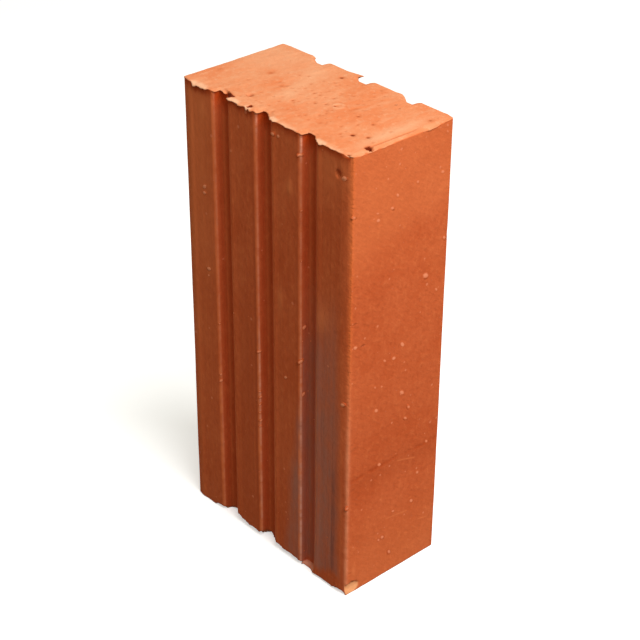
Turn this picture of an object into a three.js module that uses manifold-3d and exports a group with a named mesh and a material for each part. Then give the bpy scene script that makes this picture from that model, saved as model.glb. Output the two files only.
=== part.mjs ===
// Solid clay brick with keying grooves, modelled in millimetres.
//
// The clay is pushed through a die, so one section runs the whole length of the brick. The die
// draws three mortar grooves along each bed, the two wide faces. A groove has one steep wall, a
// flat floor and one sloped wall, and the two beds are the same shape turned half a turn, so the
// column of clay leaves the die straight. Wires then cut the column square, which leaves two flat
// ends with hardly eased edges. Handling has broken a few small chips out of the fired brick.
//
// Frame: the brick stands on one cut end. The origin is the centre of that end, +X is across the
// width, +Y is through the thickness and +Z is up the length.
import * as THREE from "three";
import Module from "manifold-3d";
import { mergeVertices } from "three/addons/utils/BufferGeometryUtils.js";

// ---- driving dimensions (mm) -------------------------------------------------------------

const LENGTH = 250;
const WIDTH = 120;
const THICKNESS = 65;
const ARRIS_RADIUS = 1.2; // the four long edges
const ROLL_RUN = 4.5; // the bed falls away over this width beside each arris,
const ROLL_DROP = 0.7; // by this much at the arris,
const ROLL_RADIUS = 25; // along this curve, where the die has worn
const CUT_EDGE_RADIUS = 0.6; // the rims of the wire-cut ends

const GROOVE_COUNT = 3; // on each bed
const GROOVE_PITCH = 31.5;
const GROOVE_OFFSET = 0.3; // the row of grooves sits this far towards its sloped walls
const GROOVE_DEPTH = 4.8;
const GROOVE_FLOOR = 5.2; // width of the flat floor
const STEEP_WALL_RUN = 0.5; // how far the steep wall leans over its depth
const SLOPED_WALL_RUN = 6.5;
const STEEP_LIP_RADIUS = 1.8;
const SLOPED_LIP_RADIUS = 2.4;
const ROOT_RADIUS = 1;

// Chips and pits: each is a shallow scoop whose centre lies on the face or edge that it breaks.
// Its three sizes are its half-lengths along X, Y and Z.
const FOOT_CHIP = { setback: 4.2, size: [3, 4.8, 5.6] };
const REAR_ARRIS_NICK = { height: 192, size: [1.4, 2.6, 2.2] };
const BED_PIT = { inset: 8.3, height: 239, size: [1.7, 1.3, 1.6] };
const END_PIT = { inset: 22, setback: 10.6, size: [1.8, 1.5, 1] };
const END_EDGE_PIT = { setback: 12.2, size: [1.9, 1.5, 1.1] };

const ARC_DIVISIONS = 5; // three.js puts two facets in an arc for each of these
const CUT_EDGE_FACETS = 3;
const SCOOP_DETAIL = 4;

// ---- section -----------------------------------------------------------------------------

// The share of a straight stretch that the arc at one of its ends may use.
const ARC_SHARE = 0.48;

function corner(x, y, radius) {
  return { at: new THREE.Vector2(x, y), radius };
}

// The four corners of one groove in the -Y bed, from its steep lip to its sloped lip.
function grooveCorners(centre) {
  const bed = -THICKNESS / 2;
  const floor = bed + GROOVE_DEPTH;
  const mouth = STEEP_WALL_RUN + GROOVE_FLOOR + SLOPED_WALL_RUN;
  const steepLip = centre - mouth / 2;
  const floorStart = steepLip + STEEP_WALL_RUN;
  const floorEnd = floorStart + GROOVE_FLOOR;
  return [
    corner(steepLip, bed, STEEP_LIP_RADIUS),
    corner(floorStart, floor, ROOT_RADIUS),
    corner(floorEnd, floor, ROOT_RADIUS),
    corner(floorEnd + SLOPED_WALL_RUN, bed, SLOPED_LIP_RADIUS),
  ];
}

// One bed with the two arrises at its ends, walked along +X.
function bedCorners() {
  const bed = -THICKNESS / 2;
  const side = WIDTH / 2;
  const corners = [corner(-side, bed + ROLL_DROP, ARRIS_RADIUS), corner(-side + ROLL_RUN, bed, ROLL_RADIUS)];
  for (let i = 0; i < GROOVE_COUNT; i++) {
    const place = i - (GROOVE_COUNT - 1) / 2;
    corners.push(...grooveCorners(place * GROOVE_PITCH + GROOVE_OFFSET));
  }
  corners.push(corner(side - ROLL_RUN, bed, ROLL_RADIUS), corner(side, bed + ROLL_DROP, ARRIS_RADIUS));
  return corners;
}

// The outline through the corners, with an arc of its own radius at each one.
function roundedOutline(corners) {
  const outline = new THREE.Shape();
  corners.forEach(({ at, radius }, i) => {
    const before = corners.at(i - 1).at;
    const after = corners[(i + 1) % corners.length].at;
    const arriving = at.clone().sub(before).normalize();
    const leaving = after.clone().sub(at).normalize();
    const turn = Math.atan2(arriving.cross(leaving), arriving.dot(leaving));
    const halfTurn = Math.tan(Math.abs(turn) / 2);
    const room = ARC_SHARE * Math.min(at.distanceTo(before), at.distanceTo(after));
    const setback = Math.min(radius * halfTurn, room);
    const arcRadius = setback / halfTurn;
    const start = at.clone().addScaledVector(arriving, -setback);
    const inward = new THREE.Vector2(-arriving.y, arriving.x).multiplyScalar(Math.sign(turn));
    const centre = start.clone().addScaledVector(inward, arcRadius);
    const angle = Math.atan2(start.y - centre.y, start.x - centre.x);
    outline.absarc(centre.x, centre.y, arcRadius, angle, angle + turn, turn < 0);
  });
  return outline;
}

function section() {
  const bed = bedCorners();
  const otherBed = bed.map(({ at, radius }) => corner(-at.x, -at.y, radius));
  return roundedOutline([...bed, ...otherBed]);
}

// ---- solids ------------------------------------------------------------------------------

const wasm = await Module();
wasm.setup();

function toSolid(geometry) {
  geometry.deleteAttribute("normal");
  geometry.deleteAttribute("uv");
  const merged = mergeVertices(geometry);
  const vertProperties = new Float32Array(merged.attributes.position.array);
  const triVerts = new Uint32Array(merged.index.array);
  return new wasm.Manifold(new wasm.Mesh({ numProp: 3, vertProperties, triVerts }));
}

function toGeometry(solid) {
  const mesh = solid.getMesh();
  const geometry = new THREE.BufferGeometry();
  geometry.setAttribute("position", new THREE.BufferAttribute(mesh.vertProperties, 3));
  geometry.setIndex(new THREE.BufferAttribute(mesh.triVerts, 1));
  geometry.computeVertexNormals();
  return geometry;
}

// The wire-cut length of clay column, standing on the plane z = 0.
function cutColumn() {
  const geometry = new THREE.ExtrudeGeometry(section(), {
    depth: LENGTH - 2 * CUT_EDGE_RADIUS,
    curveSegments: ARC_DIVISIONS,
    bevelThickness: CUT_EDGE_RADIUS,
    bevelSize: CUT_EDGE_RADIUS,
    bevelOffset: -CUT_EDGE_RADIUS,
    bevelSegments: CUT_EDGE_FACETS,
  });
  return geometry.translate(0, 0, CUT_EDGE_RADIUS);
}

// What one chip takes away: an ellipsoid with small flat facets, as fired clay breaks.
function scoop(centre, size) {
  return new THREE.IcosahedronGeometry(1, SCOOP_DETAIL).scale(...size).translate(...centre);
}

function chips() {
  const right = WIDTH / 2;
  const front = -THICKNESS / 2;
  const rear = THICKNESS / 2;
  return [
    scoop([right, front + FOOT_CHIP.setback, 0], FOOT_CHIP.size),
    scoop([right, rear - ARRIS_RADIUS / 2, REAR_ARRIS_NICK.height], REAR_ARRIS_NICK.size),
    scoop([right - BED_PIT.inset, front, BED_PIT.height], BED_PIT.size),
    scoop([-END_PIT.inset, front + END_PIT.setback, LENGTH], END_PIT.size),
    scoop([right, front + END_EDGE_PIT.setback, LENGTH], END_EDGE_PIT.size),
  ];
}

const brickSolid = chips().reduce((solid, chip) => solid.subtract(toSolid(chip)), toSolid(cutColumn()));

const firedClay = new THREE.MeshStandardMaterial({ color: 0xd9703f, roughness: 0.9, metalness: 0 });
const brick = new THREE.Mesh(toGeometry(brickSolid), firedClay);
brick.name = "brick";

const group = new THREE.Group();
group.add(brick);

export default group;
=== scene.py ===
# %% [markdown]
# # A solid clay brick with keying grooves
# The brick is one piece of fired clay, standing on a cut end. Clay was pushed through a die, which
# gave it one section all the way along, and wires then cut the column to length. So its six faces
# have two quite different skins: four smooth, drawn ones and two torn, paler ones.
#
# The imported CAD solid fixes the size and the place. The piece made here stands for it, point for
# point in the same frame, and adds what a drawing leaves out: waves in the faces, torn rims,
# breaks, grit and a finish for each kind of surface.

import bpy
import numpy as np
from mathutils import Matrix, Vector


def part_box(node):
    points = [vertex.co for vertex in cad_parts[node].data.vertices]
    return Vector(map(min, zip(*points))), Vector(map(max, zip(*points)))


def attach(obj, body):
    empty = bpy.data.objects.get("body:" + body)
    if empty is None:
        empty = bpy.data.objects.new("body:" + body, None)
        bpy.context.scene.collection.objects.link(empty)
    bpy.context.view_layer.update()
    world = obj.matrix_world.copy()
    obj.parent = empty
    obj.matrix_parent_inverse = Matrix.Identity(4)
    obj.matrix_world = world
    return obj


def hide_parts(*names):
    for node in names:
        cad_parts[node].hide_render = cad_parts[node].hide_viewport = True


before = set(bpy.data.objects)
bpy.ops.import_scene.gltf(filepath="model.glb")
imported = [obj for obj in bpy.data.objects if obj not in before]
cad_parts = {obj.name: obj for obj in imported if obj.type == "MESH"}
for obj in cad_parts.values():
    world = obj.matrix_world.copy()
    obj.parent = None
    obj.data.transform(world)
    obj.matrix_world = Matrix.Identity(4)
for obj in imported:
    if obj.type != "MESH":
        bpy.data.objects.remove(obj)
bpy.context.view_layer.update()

MM = 0.001  # shapes are worked out in millimetres and stored in metres
low, high = (np.array(corner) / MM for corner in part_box("brick"))
WIDTH, THICKNESS, LENGTH = high - low
print(f"brick: {WIDTH:.1f} x {THICKNESS:.1f} mm, standing {LENGTH:.1f} mm tall")

# %% [markdown]
# ## The camera
# It stands above and to the right of the brick, far off with a long lens, so that the uprights
# hardly converge. It comes first because every later choice of detail is judged through it.

# %% Camera
CAMERA_AZIMUTH = np.radians(47.83)  # from straight in front of the grooved bed, towards +X
CAMERA_ELEVATION = np.radians(31.20)
CAMERA_ROLL = np.radians(0.40)
CAMERA_DISTANCE = 860.7
AIM_RIGHT, AIM_UP = 2.88, 1.34  # from the middle of the brick, along the camera's right and up
FOCAL_SHARE = 1687.5 / 640  # focal length over the width of the sensor
SENSOR_WIDTH = 36.0


def camera_axes(azimuth, elevation):
    """The camera's right, up and back directions: back is the unit vector at that azimuth and
    elevation, right lies level and square to it, and up is back x right."""
    back = np.array([
        np.sin(azimuth) * np.cos(elevation),
        -np.cos(azimuth) * np.cos(elevation),
        np.sin(elevation),
    ])
    right = np.array([np.cos(azimuth), np.sin(azimuth), 0.0])
    return right, np.cross(back, right), back


right, up, back = camera_axes(CAMERA_AZIMUTH, CAMERA_ELEVATION)
aim = np.array([0, 0, LENGTH / 2]) + right * AIM_RIGHT + up * AIM_UP
turned_right = np.cos(CAMERA_ROLL) * right + np.sin(CAMERA_ROLL) * up
turned_up = np.cross(back, turned_right)
camera_data = bpy.data.cameras.new("camera")
camera_data.sensor_width = SENSOR_WIDTH
camera_data.lens = FOCAL_SHARE * SENSOR_WIDTH
camera = bpy.data.objects.new("camera", camera_data)
camera.matrix_world = Matrix.Translation(Vector((aim + back * CAMERA_DISTANCE) * MM)) @ Matrix(
    np.column_stack([turned_right, turned_up, back]).tolist()
).to_4x4()
bpy.context.scene.collection.objects.link(camera)
bpy.context.scene.camera = camera
print(f"camera: {camera_data.lens:.1f} mm lens, {CAMERA_DISTANCE:.0f} mm away")

# %% [markdown]
# ## The die's section
# Everything the die made is one outline. Its corners are a handful of points, and each is rounded
# by its own radius: wide arrises, soft groove lips, tight groove roots. A groove has a steep wall,
# a flat floor and a sloped wall, and the second bed is the first one turned half a turn.
#
# The outline could be a Blender curve with a bevel, but then nothing would tell a later step which
# points are lips. Working it out as arrays keeps a normal and a bend for every point.

# %% Section sizes (mm)
ARRIS_RADIUS = 1.2
ROLL_RUN, ROLL_DROP, ROLL_RADIUS = 4.5, 0.7, 25.0  # where a bed falls away beside an arris
CUT_EDGE_RADIUS = 0.6
GROOVE_COUNT = 3
GROOVE_PITCH = 31.5
GROOVE_OFFSET = 0.3
GROOVE_DEPTH = 4.8
GROOVE_FLOOR = 5.2
STEEP_WALL_RUN = 0.5
SLOPED_WALL_RUN = 6.5
STEEP_LIP_RADIUS = 1.8
SLOPED_LIP_RADIUS = 2.4
ROOT_RADIUS = 1.0

groove_mouth = STEEP_WALL_RUN + GROOVE_FLOOR + SLOPED_WALL_RUN
groove_centres = (np.arange(GROOVE_COUNT) - (GROOVE_COUNT - 1) / 2) * GROOVE_PITCH + GROOVE_OFFSET
print("grooves of the front bed at x =", groove_centres.round(1), "mm, mouth", groove_mouth, "mm")

# %% Corners of the outline, each with its radius and the number of points in its arc
ARRIS_POINTS, ROLL_POINTS = 7, 4
STEEP_LIP_POINTS, ROOT_POINTS, SLOPED_LIP_POINTS = 9, 4, 5


def bed_corners():
    """The corners met while walking along the front bed from one arris to the other, as rows of
    x, y, radius, points in the arc."""
    face, floor = -THICKNESS / 2, -THICKNESS / 2 + GROOVE_DEPTH
    arris = (WIDTH / 2, face + ROLL_DROP, ARRIS_RADIUS, ARRIS_POINTS)
    roll = (WIDTH / 2 - ROLL_RUN, face, ROLL_RADIUS, ROLL_POINTS)
    rows = [(-x, y, radius, points) for x, y, radius, points in (arris, roll)]
    for steep_lip in groove_centres - groove_mouth / 2:
        floor_start = steep_lip + STEEP_WALL_RUN
        floor_end = floor_start + GROOVE_FLOOR
        rows += [
            (steep_lip, face, STEEP_LIP_RADIUS, STEEP_LIP_POINTS),
            (floor_start, floor, ROOT_RADIUS, ROOT_POINTS),
            (floor_end, floor, ROOT_RADIUS, ROOT_POINTS),
            (floor_end + SLOPED_WALL_RUN, face, SLOPED_LIP_RADIUS, SLOPED_LIP_POINTS),
        ]
    return np.array(rows + [roll, arris])


front_corners = bed_corners()
corners = np.concatenate([front_corners, front_corners * [-1, -1, 1, 1]])
print(len(corners), "corners in the section")

# %% [markdown]
# The straights between the arcs are cut into steps as well, because the faces get relief of their
# own later. Steps are short where something small happens and long where nothing does. One helper
# does that for the outline, the heights and the ends.


# %% Cut a length into steps of a chosen size
CUT_SAMPLES = 4001


def packed_cuts(length, places, gaps):
    """Cut a length so that the gap near each of `places` is the one in `gaps`: the number of cuts
    up to x is the integral of 1 / gap, and the cuts lie where that number is whole."""
    x = np.linspace(0, length, CUT_SAMPLES)
    density = 1 / np.interp(x, places, gaps)
    count = np.concatenate([[0], np.cumsum((density[1:] + density[:-1]) / 2 * np.diff(x))])
    return np.interp(np.linspace(0, count[-1], int(np.ceil(count[-1])) + 1), count, x)


print("a 10 mm length from gaps of 0.5 to 2:", packed_cuts(10, [0, 10], [0.5, 2]).round(2))

# %% The outline as arrays
FULL_TURN = 0.6  # corners that turn by this many radians or more count as sharp
STEPS = [[0.62, 0.62], [0.7, 1.8], [1.6, 1.6], [2.2, 2.2]]  # on each side, at its start and end


def rounded_outline(table):
    """Round each corner of a polygon and cut up the straights between the arcs.

    A corner that turns by `turn` starts its arc radius * tan(|turn| / 2) before the corner. Along
    the arc the outward normal swings evenly by `turn`, and a point is centre +- radius * normal.
    Returns the points, their normals, their bend (up to 1 in the middle of an outer corner, down to
    -1 in an inner one, less where the turn is slight, 0 on straights) and the number of the side
    they are on: 0 front bed, 1 right stretcher, 2 rear bed, 3 left stretcher, -1 on the arrises.
    """
    at, radius, arc_points = table[:, :2], table[:, 2], table[:, 3].astype(int)
    half = len(at) // 2
    arriving = at - np.roll(at, 1, axis=0)
    run = np.roll(np.linalg.norm(arriving, axis=1), -1)
    arriving /= np.linalg.norm(arriving, axis=1, keepdims=True)
    leaving = np.roll(arriving, -1, axis=0)
    turn = np.arctan2(
        arriving[:, 0] * leaving[:, 1] - arriving[:, 1] * leaving[:, 0],
        (arriving * leaving).sum(axis=1),
    )
    setback = radius * np.tan(np.abs(turn) / 2)
    points, normals, bends, sides = [], [], [], []
    for i in range(len(at)):
        share = np.linspace(0, 1, arc_points[i])
        angle = np.arctan2(-arriving[i, 0], arriving[i, 1]) + turn[i] * share
        normal = np.column_stack([np.cos(angle), np.sin(angle)])
        signed_radius = np.sign(turn[i]) * radius[i]
        centre = at[i] - arriving[i] * setback[i] - signed_radius * normal[0]
        is_arris = i % half in (0, half - 1)
        side = 2 * (i // half) + (i % half == half - 1)
        straight = run[i] - setback[i] - setback[(i + 1) % len(at)]
        along = packed_cuts(straight, [0, straight], STEPS[side])[1:-1, None]
        points += [centre + signed_radius * normal, at[i] + leaving[i] * (setback[i] + along)]
        normals += [normal, np.repeat(normal[-1:], len(along), axis=0)]
        bends += [np.clip(turn[i] / FULL_TURN, -1, 1) * np.sin(np.pi * share), np.zeros(len(along))]
        sides += [np.full(len(share), -1 if is_arris else side), np.full(len(along), side)]
    return map(np.concatenate, (points, normals, bends, sides))


outline, outline_normal, bend, side = rounded_outline(corners)
among_grooves = (side % 2 == 0) & (np.abs(outline[:, 0]) < WIDTH / 2 - 2 * ROLL_RUN)
groove_depth_here = np.where(among_grooves, THICKNESS / 2 - np.abs(outline[:, 1]), 0)
turned_x = outline[:, 0] * -np.sign(outline[:, 1])  # the rear bed is the front one turned round
print(len(outline), "points round the section, deepest groove", groove_depth_here.max().round(2))

# %% Places on the sides, as seen from outside
FRONT, RIGHT, REAR, LEFT, END = range(5)


def across_side(side_number):
    """How far each point of the outline lies from the left end of one side, seen from outside."""
    distance = outline[:, 1] + THICKNESS / 2 if side_number % 2 else outline[:, 0] + WIDTH / 2
    if side_number in (REAR, LEFT):
        distance = (WIDTH if side_number == REAR else THICKNESS) - distance
    return distance


print("the right stretcher is", across_side(RIGHT)[side == RIGHT].max().round(1), "mm across")

# %% [markdown]
# ## One closed skin
# The whole surface is a grid. Around it runs the outline. Along it runs a path that starts on a
# line in the middle of the standing end, goes out to the rim, turns up over the cut edge, climbs
# the side, turns in over the top edge and ends on the matching line in the top end. Both ends
# close on that line, so no cap has to be fitted.
#
# An extruded curve with filled ends would be quicker, but its ends would have no points inside,
# and the torn clay of the ends needs thousands.

# %% Rows of the path: how far out, how tilted, how high
TOP_END_GAPS = [0.32, 0.8]  # at the rim, in the middle
FOOT_END_GAPS = [1.2, 3.0]
SIDE_HEIGHTS = [0, 8, 20, LENGTH - 22, LENGTH - 14, LENGTH]
SIDE_GAPS = [0.45, 0.8, 3.0, 3.0, 0.95, 0.3]
RIM_ROWS = 3

inner_depth = THICKNESS / 2 - CUT_EDGE_RADIUS
top_in = packed_cuts(inner_depth, [0, inner_depth], TOP_END_GAPS)[1:]
foot_in = packed_cuts(inner_depth, [0, inner_depth], FOOT_END_GAPS)[1:]
climb = packed_cuts(LENGTH - 2 * CUT_EDGE_RADIUS, SIDE_HEIGHTS, SIDE_GAPS) + CUT_EDGE_RADIUS
rim_angle = np.linspace(0, np.pi / 2, RIM_ROWS + 1)[1:]

# Each list runs from the foot's middle line to the top's.
inward = np.concatenate([foot_in[::-1], np.zeros(2 * RIM_ROWS + len(climb)), top_in])
tilt = np.concatenate([
    np.full(len(foot_in), -np.pi / 2), -rim_angle[::-1],
    np.zeros(len(climb)),
    rim_angle, np.full(len(top_in), np.pi / 2),
])
height = np.concatenate([
    np.zeros(len(foot_in)), CUT_EDGE_RADIUS * (1 - np.sin(rim_angle[::-1])),
    climb,
    LENGTH - CUT_EDGE_RADIUS * (1 - np.sin(rim_angle)), np.full(len(top_in), LENGTH),
])
rows, columns = len(height), len(outline)
print(rows, "rows x", columns, "columns =", 2 * (rows - 1) * columns, "triangles")

# %% [markdown]
# An end cannot shrink straight from its outline to the middle line: the cells beside the steep
# walls would fold over each other. So it first runs into a plain rectangle, END_MARGIN inside the
# faces. There each steep wall has moved a little towards its own rib, which keeps the cells open.

# %% Base surface and its normals
MIDDLE_LINE = (WIDTH - THICKNESS) / 2  # half the length of the line that both ends close on
END_MARGIN = 6.5
WALL_SHIFT = 1.3
FLAT_TILT = 1.5  # in radians: a row tilted by more than this is on the top end
half_size = np.array([WIDTH, THICKNESS]) / 2


def front_places(x, depth):
    """Where the points of the front bed end up on the rectangle. The first and last point keep
    their share of the width, the foot of each steep wall moves by WALL_SHIFT, the far end of each
    floor stays, and the points between two of those are spread evenly."""
    on_floor = depth > GROOVE_DEPTH - 1e-6
    first = np.flatnonzero(on_floor & ~np.roll(on_floor, 1))
    last = np.flatnonzero(on_floor & ~np.roll(on_floor, -1))
    anchors = np.sort(np.concatenate([[0], first, last, [len(x) - 1]]))
    places = x[anchors].copy()
    places[[0, -1]] *= 1 - END_MARGIN / half_size[0]
    places[1:-1:2] -= WALL_SHIFT
    return np.interp(np.arange(len(x)), anchors, places)


def end_outlines():
    """The rectangle that every outline point reaches, and the place on the middle line where it
    ends up. Along the line there is one place for each point of the rear bed. The front bed has
    more points, so several share a place, and the two beds meet."""
    rectangle = outline * (1 - END_MARGIN / half_size)
    line = np.column_stack([np.sign(outline[:, 0]) * MIDDLE_LINE, np.zeros(columns)])
    spread = np.linspace(-MIDDLE_LINE, MIDDLE_LINE, (side == REAR).sum() + 2)[1:-1]
    for bed, turned in ((FRONT, 1), (REAR, -1)):
        on_bed = np.flatnonzero(side == bed)
        nearest = np.linspace(0, len(spread) - 1, len(on_bed)).round().astype(int)
        x = turned * outline[on_bed, 0]
        rectangle[on_bed, 0] = turned * front_places(x, groove_depth_here[on_bed])
        rectangle[on_bed, 1] = turned * (END_MARGIN - half_size[1])
        line[on_bed, 0] = turned * spread[nearest]
    return rectangle, line


def brick_grid():
    """P(row, column) = the outline pulled in by radius * (1 - cos tilt) on the rows of the sides and
    rims. On the ends it goes over to the rectangle as inward grows to END_MARGIN, and from there
    to the middle line. The normal leans up from level by the row's tilt."""
    pulled_in = CUT_EDGE_RADIUS * (1 - np.cos(tilt))[:, None, None]
    rectangle, line = end_outlines()
    flat = outline - outline_normal * pulled_in
    flat = flat + (rectangle - flat) * np.clip(inward / END_MARGIN, 0, 1)[:, None, None]
    further = (inward - END_MARGIN) / (inner_depth - END_MARGIN)
    flat = flat + (line - flat) * np.clip(further, 0, 1)[:, None, None]
    place = np.concatenate([flat, np.broadcast_to(height[:, None, None], (rows, columns, 1))], axis=2)
    lean = np.cos(tilt)[:, None, None] * outline_normal
    rise = np.broadcast_to(np.sin(tilt)[:, None, None], (rows, columns, 1))
    return place, np.concatenate([lean, rise], axis=2)


place, normal = brick_grid()
is_side = np.cos(tilt)[:, None] ** 2 * np.ones(columns)
on_end = inward[:, None] > 0
on_top = tilt[:, None] > FLAT_TILT
up_here = place[..., 2]
below_top = LENGTH - up_here
in_upper_half = up_here > LENGTH / 2
top_rows = place[on_top[:, 0], :, :2]
step_in, step_along = np.diff(top_rows, axis=0)[:, :-1], np.diff(top_rows, axis=1)[:-1]
folded = step_along[..., 0] * step_in[..., 1] - step_along[..., 1] * step_in[..., 0] < -1e-6
print("folded cells of an end:", int(folded.sum()))
print("grid spans", place.min((0, 1)).round(2), "to", place.max((0, 1)).round(2), "mm")

# %% [markdown]
# ## Relief
# Nothing about a brick is quite flat. The drawn faces carry long shallow waves, from drying, and
# fine lines along the length, where grit dragged in the die. The cut ends are rougher: the wire
# tears the clay rather than slicing it. All of it is noise of different sizes, pushed in or out
# along the surface normal, so the seed of each noise is the only thing that is random.


# %% Smooth noise, steps and bumps
LATTICE = 32


def smooth_noise(points, cell, seed):
    """Random numbers from -1 to 1 sit on a cubic lattice with `cell` between neighbours. A point
    gets the blend of the eight around it, each weighted by 3t^2 - 2t^3 along X, Y and Z."""
    lattice = np.random.default_rng(seed).uniform(-1, 1, (LATTICE, LATTICE, LATTICE))
    scaled = points / cell
    base = np.floor(scaled).astype(int)
    t = scaled - base
    ease = t * t * (3 - 2 * t)
    total = np.zeros(points.shape[:-1])
    for corner in np.ndindex(2, 2, 2):
        x, y, z = np.moveaxis((base + corner) % LATTICE, -1, 0)
        total += np.where(corner, ease, 1 - ease).prod(axis=-1) * lattice[x, y, z]
    return total


def eased(x):
    """0 below 0, 1 above 1, and 3x^2 - 2x^3 between."""
    x = np.clip(x, 0, 1)
    return x * x * (3 - 2 * x)


def bell(x, middle, width):
    """1 in the middle, and exp(-u^2) beside it, u being the distance from the middle over width."""
    return np.exp(-(((x - middle) / width) ** 2))


def hill(x, middle, half_width):
    """1 in the middle, 1 - u^2 beside it, and 0 from the half width on."""
    return np.clip(1 - ((x - middle) / half_width) ** 2, 0, 1)


print("noise at the grid: spread", smooth_noise(place, 40, 1).std().round(2))

# %% Waves and die lines on the drawn faces, tearing on the cut ends (heights and sizes in mm)
LONG_WAVE, LONG_WAVE_SIZE = 0.16, 48
SHORT_WAVE, SHORT_WAVE_SIZE = 0.05, 11
DIE_LINE, DIE_LINE_SIZE, DIE_LINE_STRETCH = 0.05, 1.7, 0.02
TEAR, TEAR_SIZE = 0.16, 7
CRUMB, CRUMB_SIZE = 0.10, 2.4

drawn = LONG_WAVE * smooth_noise(place, LONG_WAVE_SIZE, 11)
drawn += SHORT_WAVE * smooth_noise(place, SHORT_WAVE_SIZE, 12)
drawn += DIE_LINE * smooth_noise(place * [1, 1, DIE_LINE_STRETCH], DIE_LINE_SIZE, 13)
print(f"waves and lines of the drawn faces: {drawn.min():.2f} to {drawn.max():.2f} mm")

# %% Swellings and wear of the beds
# The bed swells a little where it meets a sloped wall and beside the far arris, and it is worn down
# towards the near one: a swelling's height and half width, how far its middle lies past the lip or
# the arris, the wear at the near arris and its width.
SWELL, SWELL_WIDTH = 0.3, 1.9
SWELL_PAST_LIP, SWELL_PAST_ARRIS = 0.8, 4.8
WEAR, WEAR_WIDTH = 0.75, 5.0
LIP_DROP = 0.8  # a lip reaches this far down into its groove
swellings = np.append(groove_centres + groove_mouth / 2 + SWELL_PAST_LIP, SWELL_PAST_ARRIS - WIDTH / 2)
facing_bed = np.clip(-outline_normal[:, 1] * np.sign(-outline[:, 1]), 0, 1) * (side % 2 == 0)
swell = bell(turned_x[:, None], swellings, SWELL_WIDTH).max(axis=1)
to_arris = np.clip((outline[:, 0] - WIDTH / 2 + WEAR_WIDTH) / WEAR_WIDTH, 0, 1) ** 2
wear = WEAR * to_arris * (outline[:, 1] < 0) * np.clip(-outline_normal[:, 1], 0, 1)
drawn += SWELL * swell * facing_bed * (groove_depth_here < LIP_DROP) - wear
print("worn down at the near arris by", wear.max().round(2), "mm")

# %% Burrs of the steep lips, and the relief so far
# A thin burr runs down the steep lips, stronger in some places than in others: x of the lip from
# the left arris, middle height, half height, strength.
BURRS = [
    (22.7, 125, 400, 0.25), (54.2, 243, 10, 0.7), (54.2, 170, 60, 0.45), (54.2, 95, 45, 1.0),
    (54.2, 25, 40, 0.7), (85.7, 244, 9, 1.2), (85.7, 190, 60, 0.4), (85.7, 110, 60, 0.8),
    (85.7, 30, 50, 1.0),
]
BURR_HEIGHT = 0.35
BURR_LEAN, BURR_SPREAD = 60.0, 18.0  # the skin's lean from the bed's own direction, in degrees
BURR_DEPTH = 1.6  # how far down the wall a burr is felt
BURR_REACH = 4.0  # how far from x a burr may lie

lean = np.degrees(np.arctan2(outline_normal[:, 0], -outline_normal[:, 1]))
on_lip = (side == FRONT) * bell(lean, BURR_LEAN, BURR_SPREAD) * bell(groove_depth_here, 0, BURR_DEPTH)
burr = np.zeros(place.shape[:-1])
for x, up, half_height, strength in BURRS:
    near_lip = on_lip * (np.abs(across_side(FRONT) - x) < BURR_REACH)
    burr = np.maximum(burr, strength * near_lip * bell(up_here, up, half_height))
drawn += BURR_HEIGHT * burr
torn = TEAR * smooth_noise(place, TEAR_SIZE, 14) + CRUMB * smooth_noise(place, CRUMB_SIZE, 15)
relief = is_side * drawn + (1 - is_side) * torn
print(f"relief from {relief.min():.2f} to {relief.max():.2f} mm")

# %% [markdown]
# ## The torn rim
# Where the wire leaves the column it pulls a ragged lip of clay over the edge. Along the front bed
# there are big flaps beside the grooves, and a thin bead everywhere else. Each flap is a bump along
# the rim: it stands out by its reach and hangs down the face by its drop.

# %% Flaps of the top rim
#  side, middle from the left end of the side, half width, reach, drop (mm)
FLAPS = [
    (FRONT, 12.4, 6.6, 1.2, 2.2), (FRONT, 10.4, 2.8, 1.5, 2.5), (FRONT, 17.0, 2.4, 0.9, 1.3),
    (FRONT, 38.8, 4.8, 0.7, 0.8), (FRONT, 35.6, 1.8, 1.0, 0.7), (FRONT, 43.6, 2.6, 0.8, 1.3),
    (FRONT, 48.2, 1.6, 0.9, 2.2), (FRONT, 51.4, 2.0, 0.8, 1.5), (FRONT, 68.0, 2.0, 0.6, 0.9),
    (FRONT, 76.0, 6.0, 0.4, 0.7), (FRONT, 99.8, 2.4, 0.6, 1.0), (FRONT, 106.0, 5.0, 0.4, 0.7),
    (RIGHT, 48.6, 2.8, 0.5, 1.3),
]
BEAD_REACH, BEAD_DROP = 0.22, 0.6
MOUTH_REACH, MOUTH_DROP = 0.75, 0.9  # the bead inside a groove
RAGGED, RAGGED_SIZE = 0.45, 1.8  # how uneven the flaps are, and over what length
BEAD_RAGGED, BEAD_RAGGED_SIZE = 0.7, 2.6
LIP_DEPTH = 2.6  # how far in from the rim the end's surface sags towards a flap
FLAP_TIP = 0.5  # where between rim and end of the drop a flap stands out most
FLAP_ROOT = 0.35  # how far it stands out at the rim itself, over its reach
FLAP_SAG = 0.35  # how far the rim sags, over the flap's reach

# Beside the first groove the rim itself has sunk: x of the middle, half width, how far it sank, and
# how far down the face that is felt.
SUNKEN_AT, SUNKEN_HALF_WIDTH, SUNKEN, SUNKEN_FADE = 29.2, 3.6, 1.3, 4.0

# The smeared clay is paler than the rest in a few places: side, middle, half width, how much.
SMEARS = [
    (FRONT, 12.5, 7.0, 1.0), (FRONT, 37.5, 5.5, 1.2), (FRONT, 48.5, 3.0, 0.6), (FRONT, 66.5, 3.6, 1.1),
    (FRONT, 76.0, 8.0, 0.4), (FRONT, 99.0, 4.6, 1.1), (FRONT, 108.0, 7.0, 0.4), (FRONT, 119.0, 4.0, 0.3),
]


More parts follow.
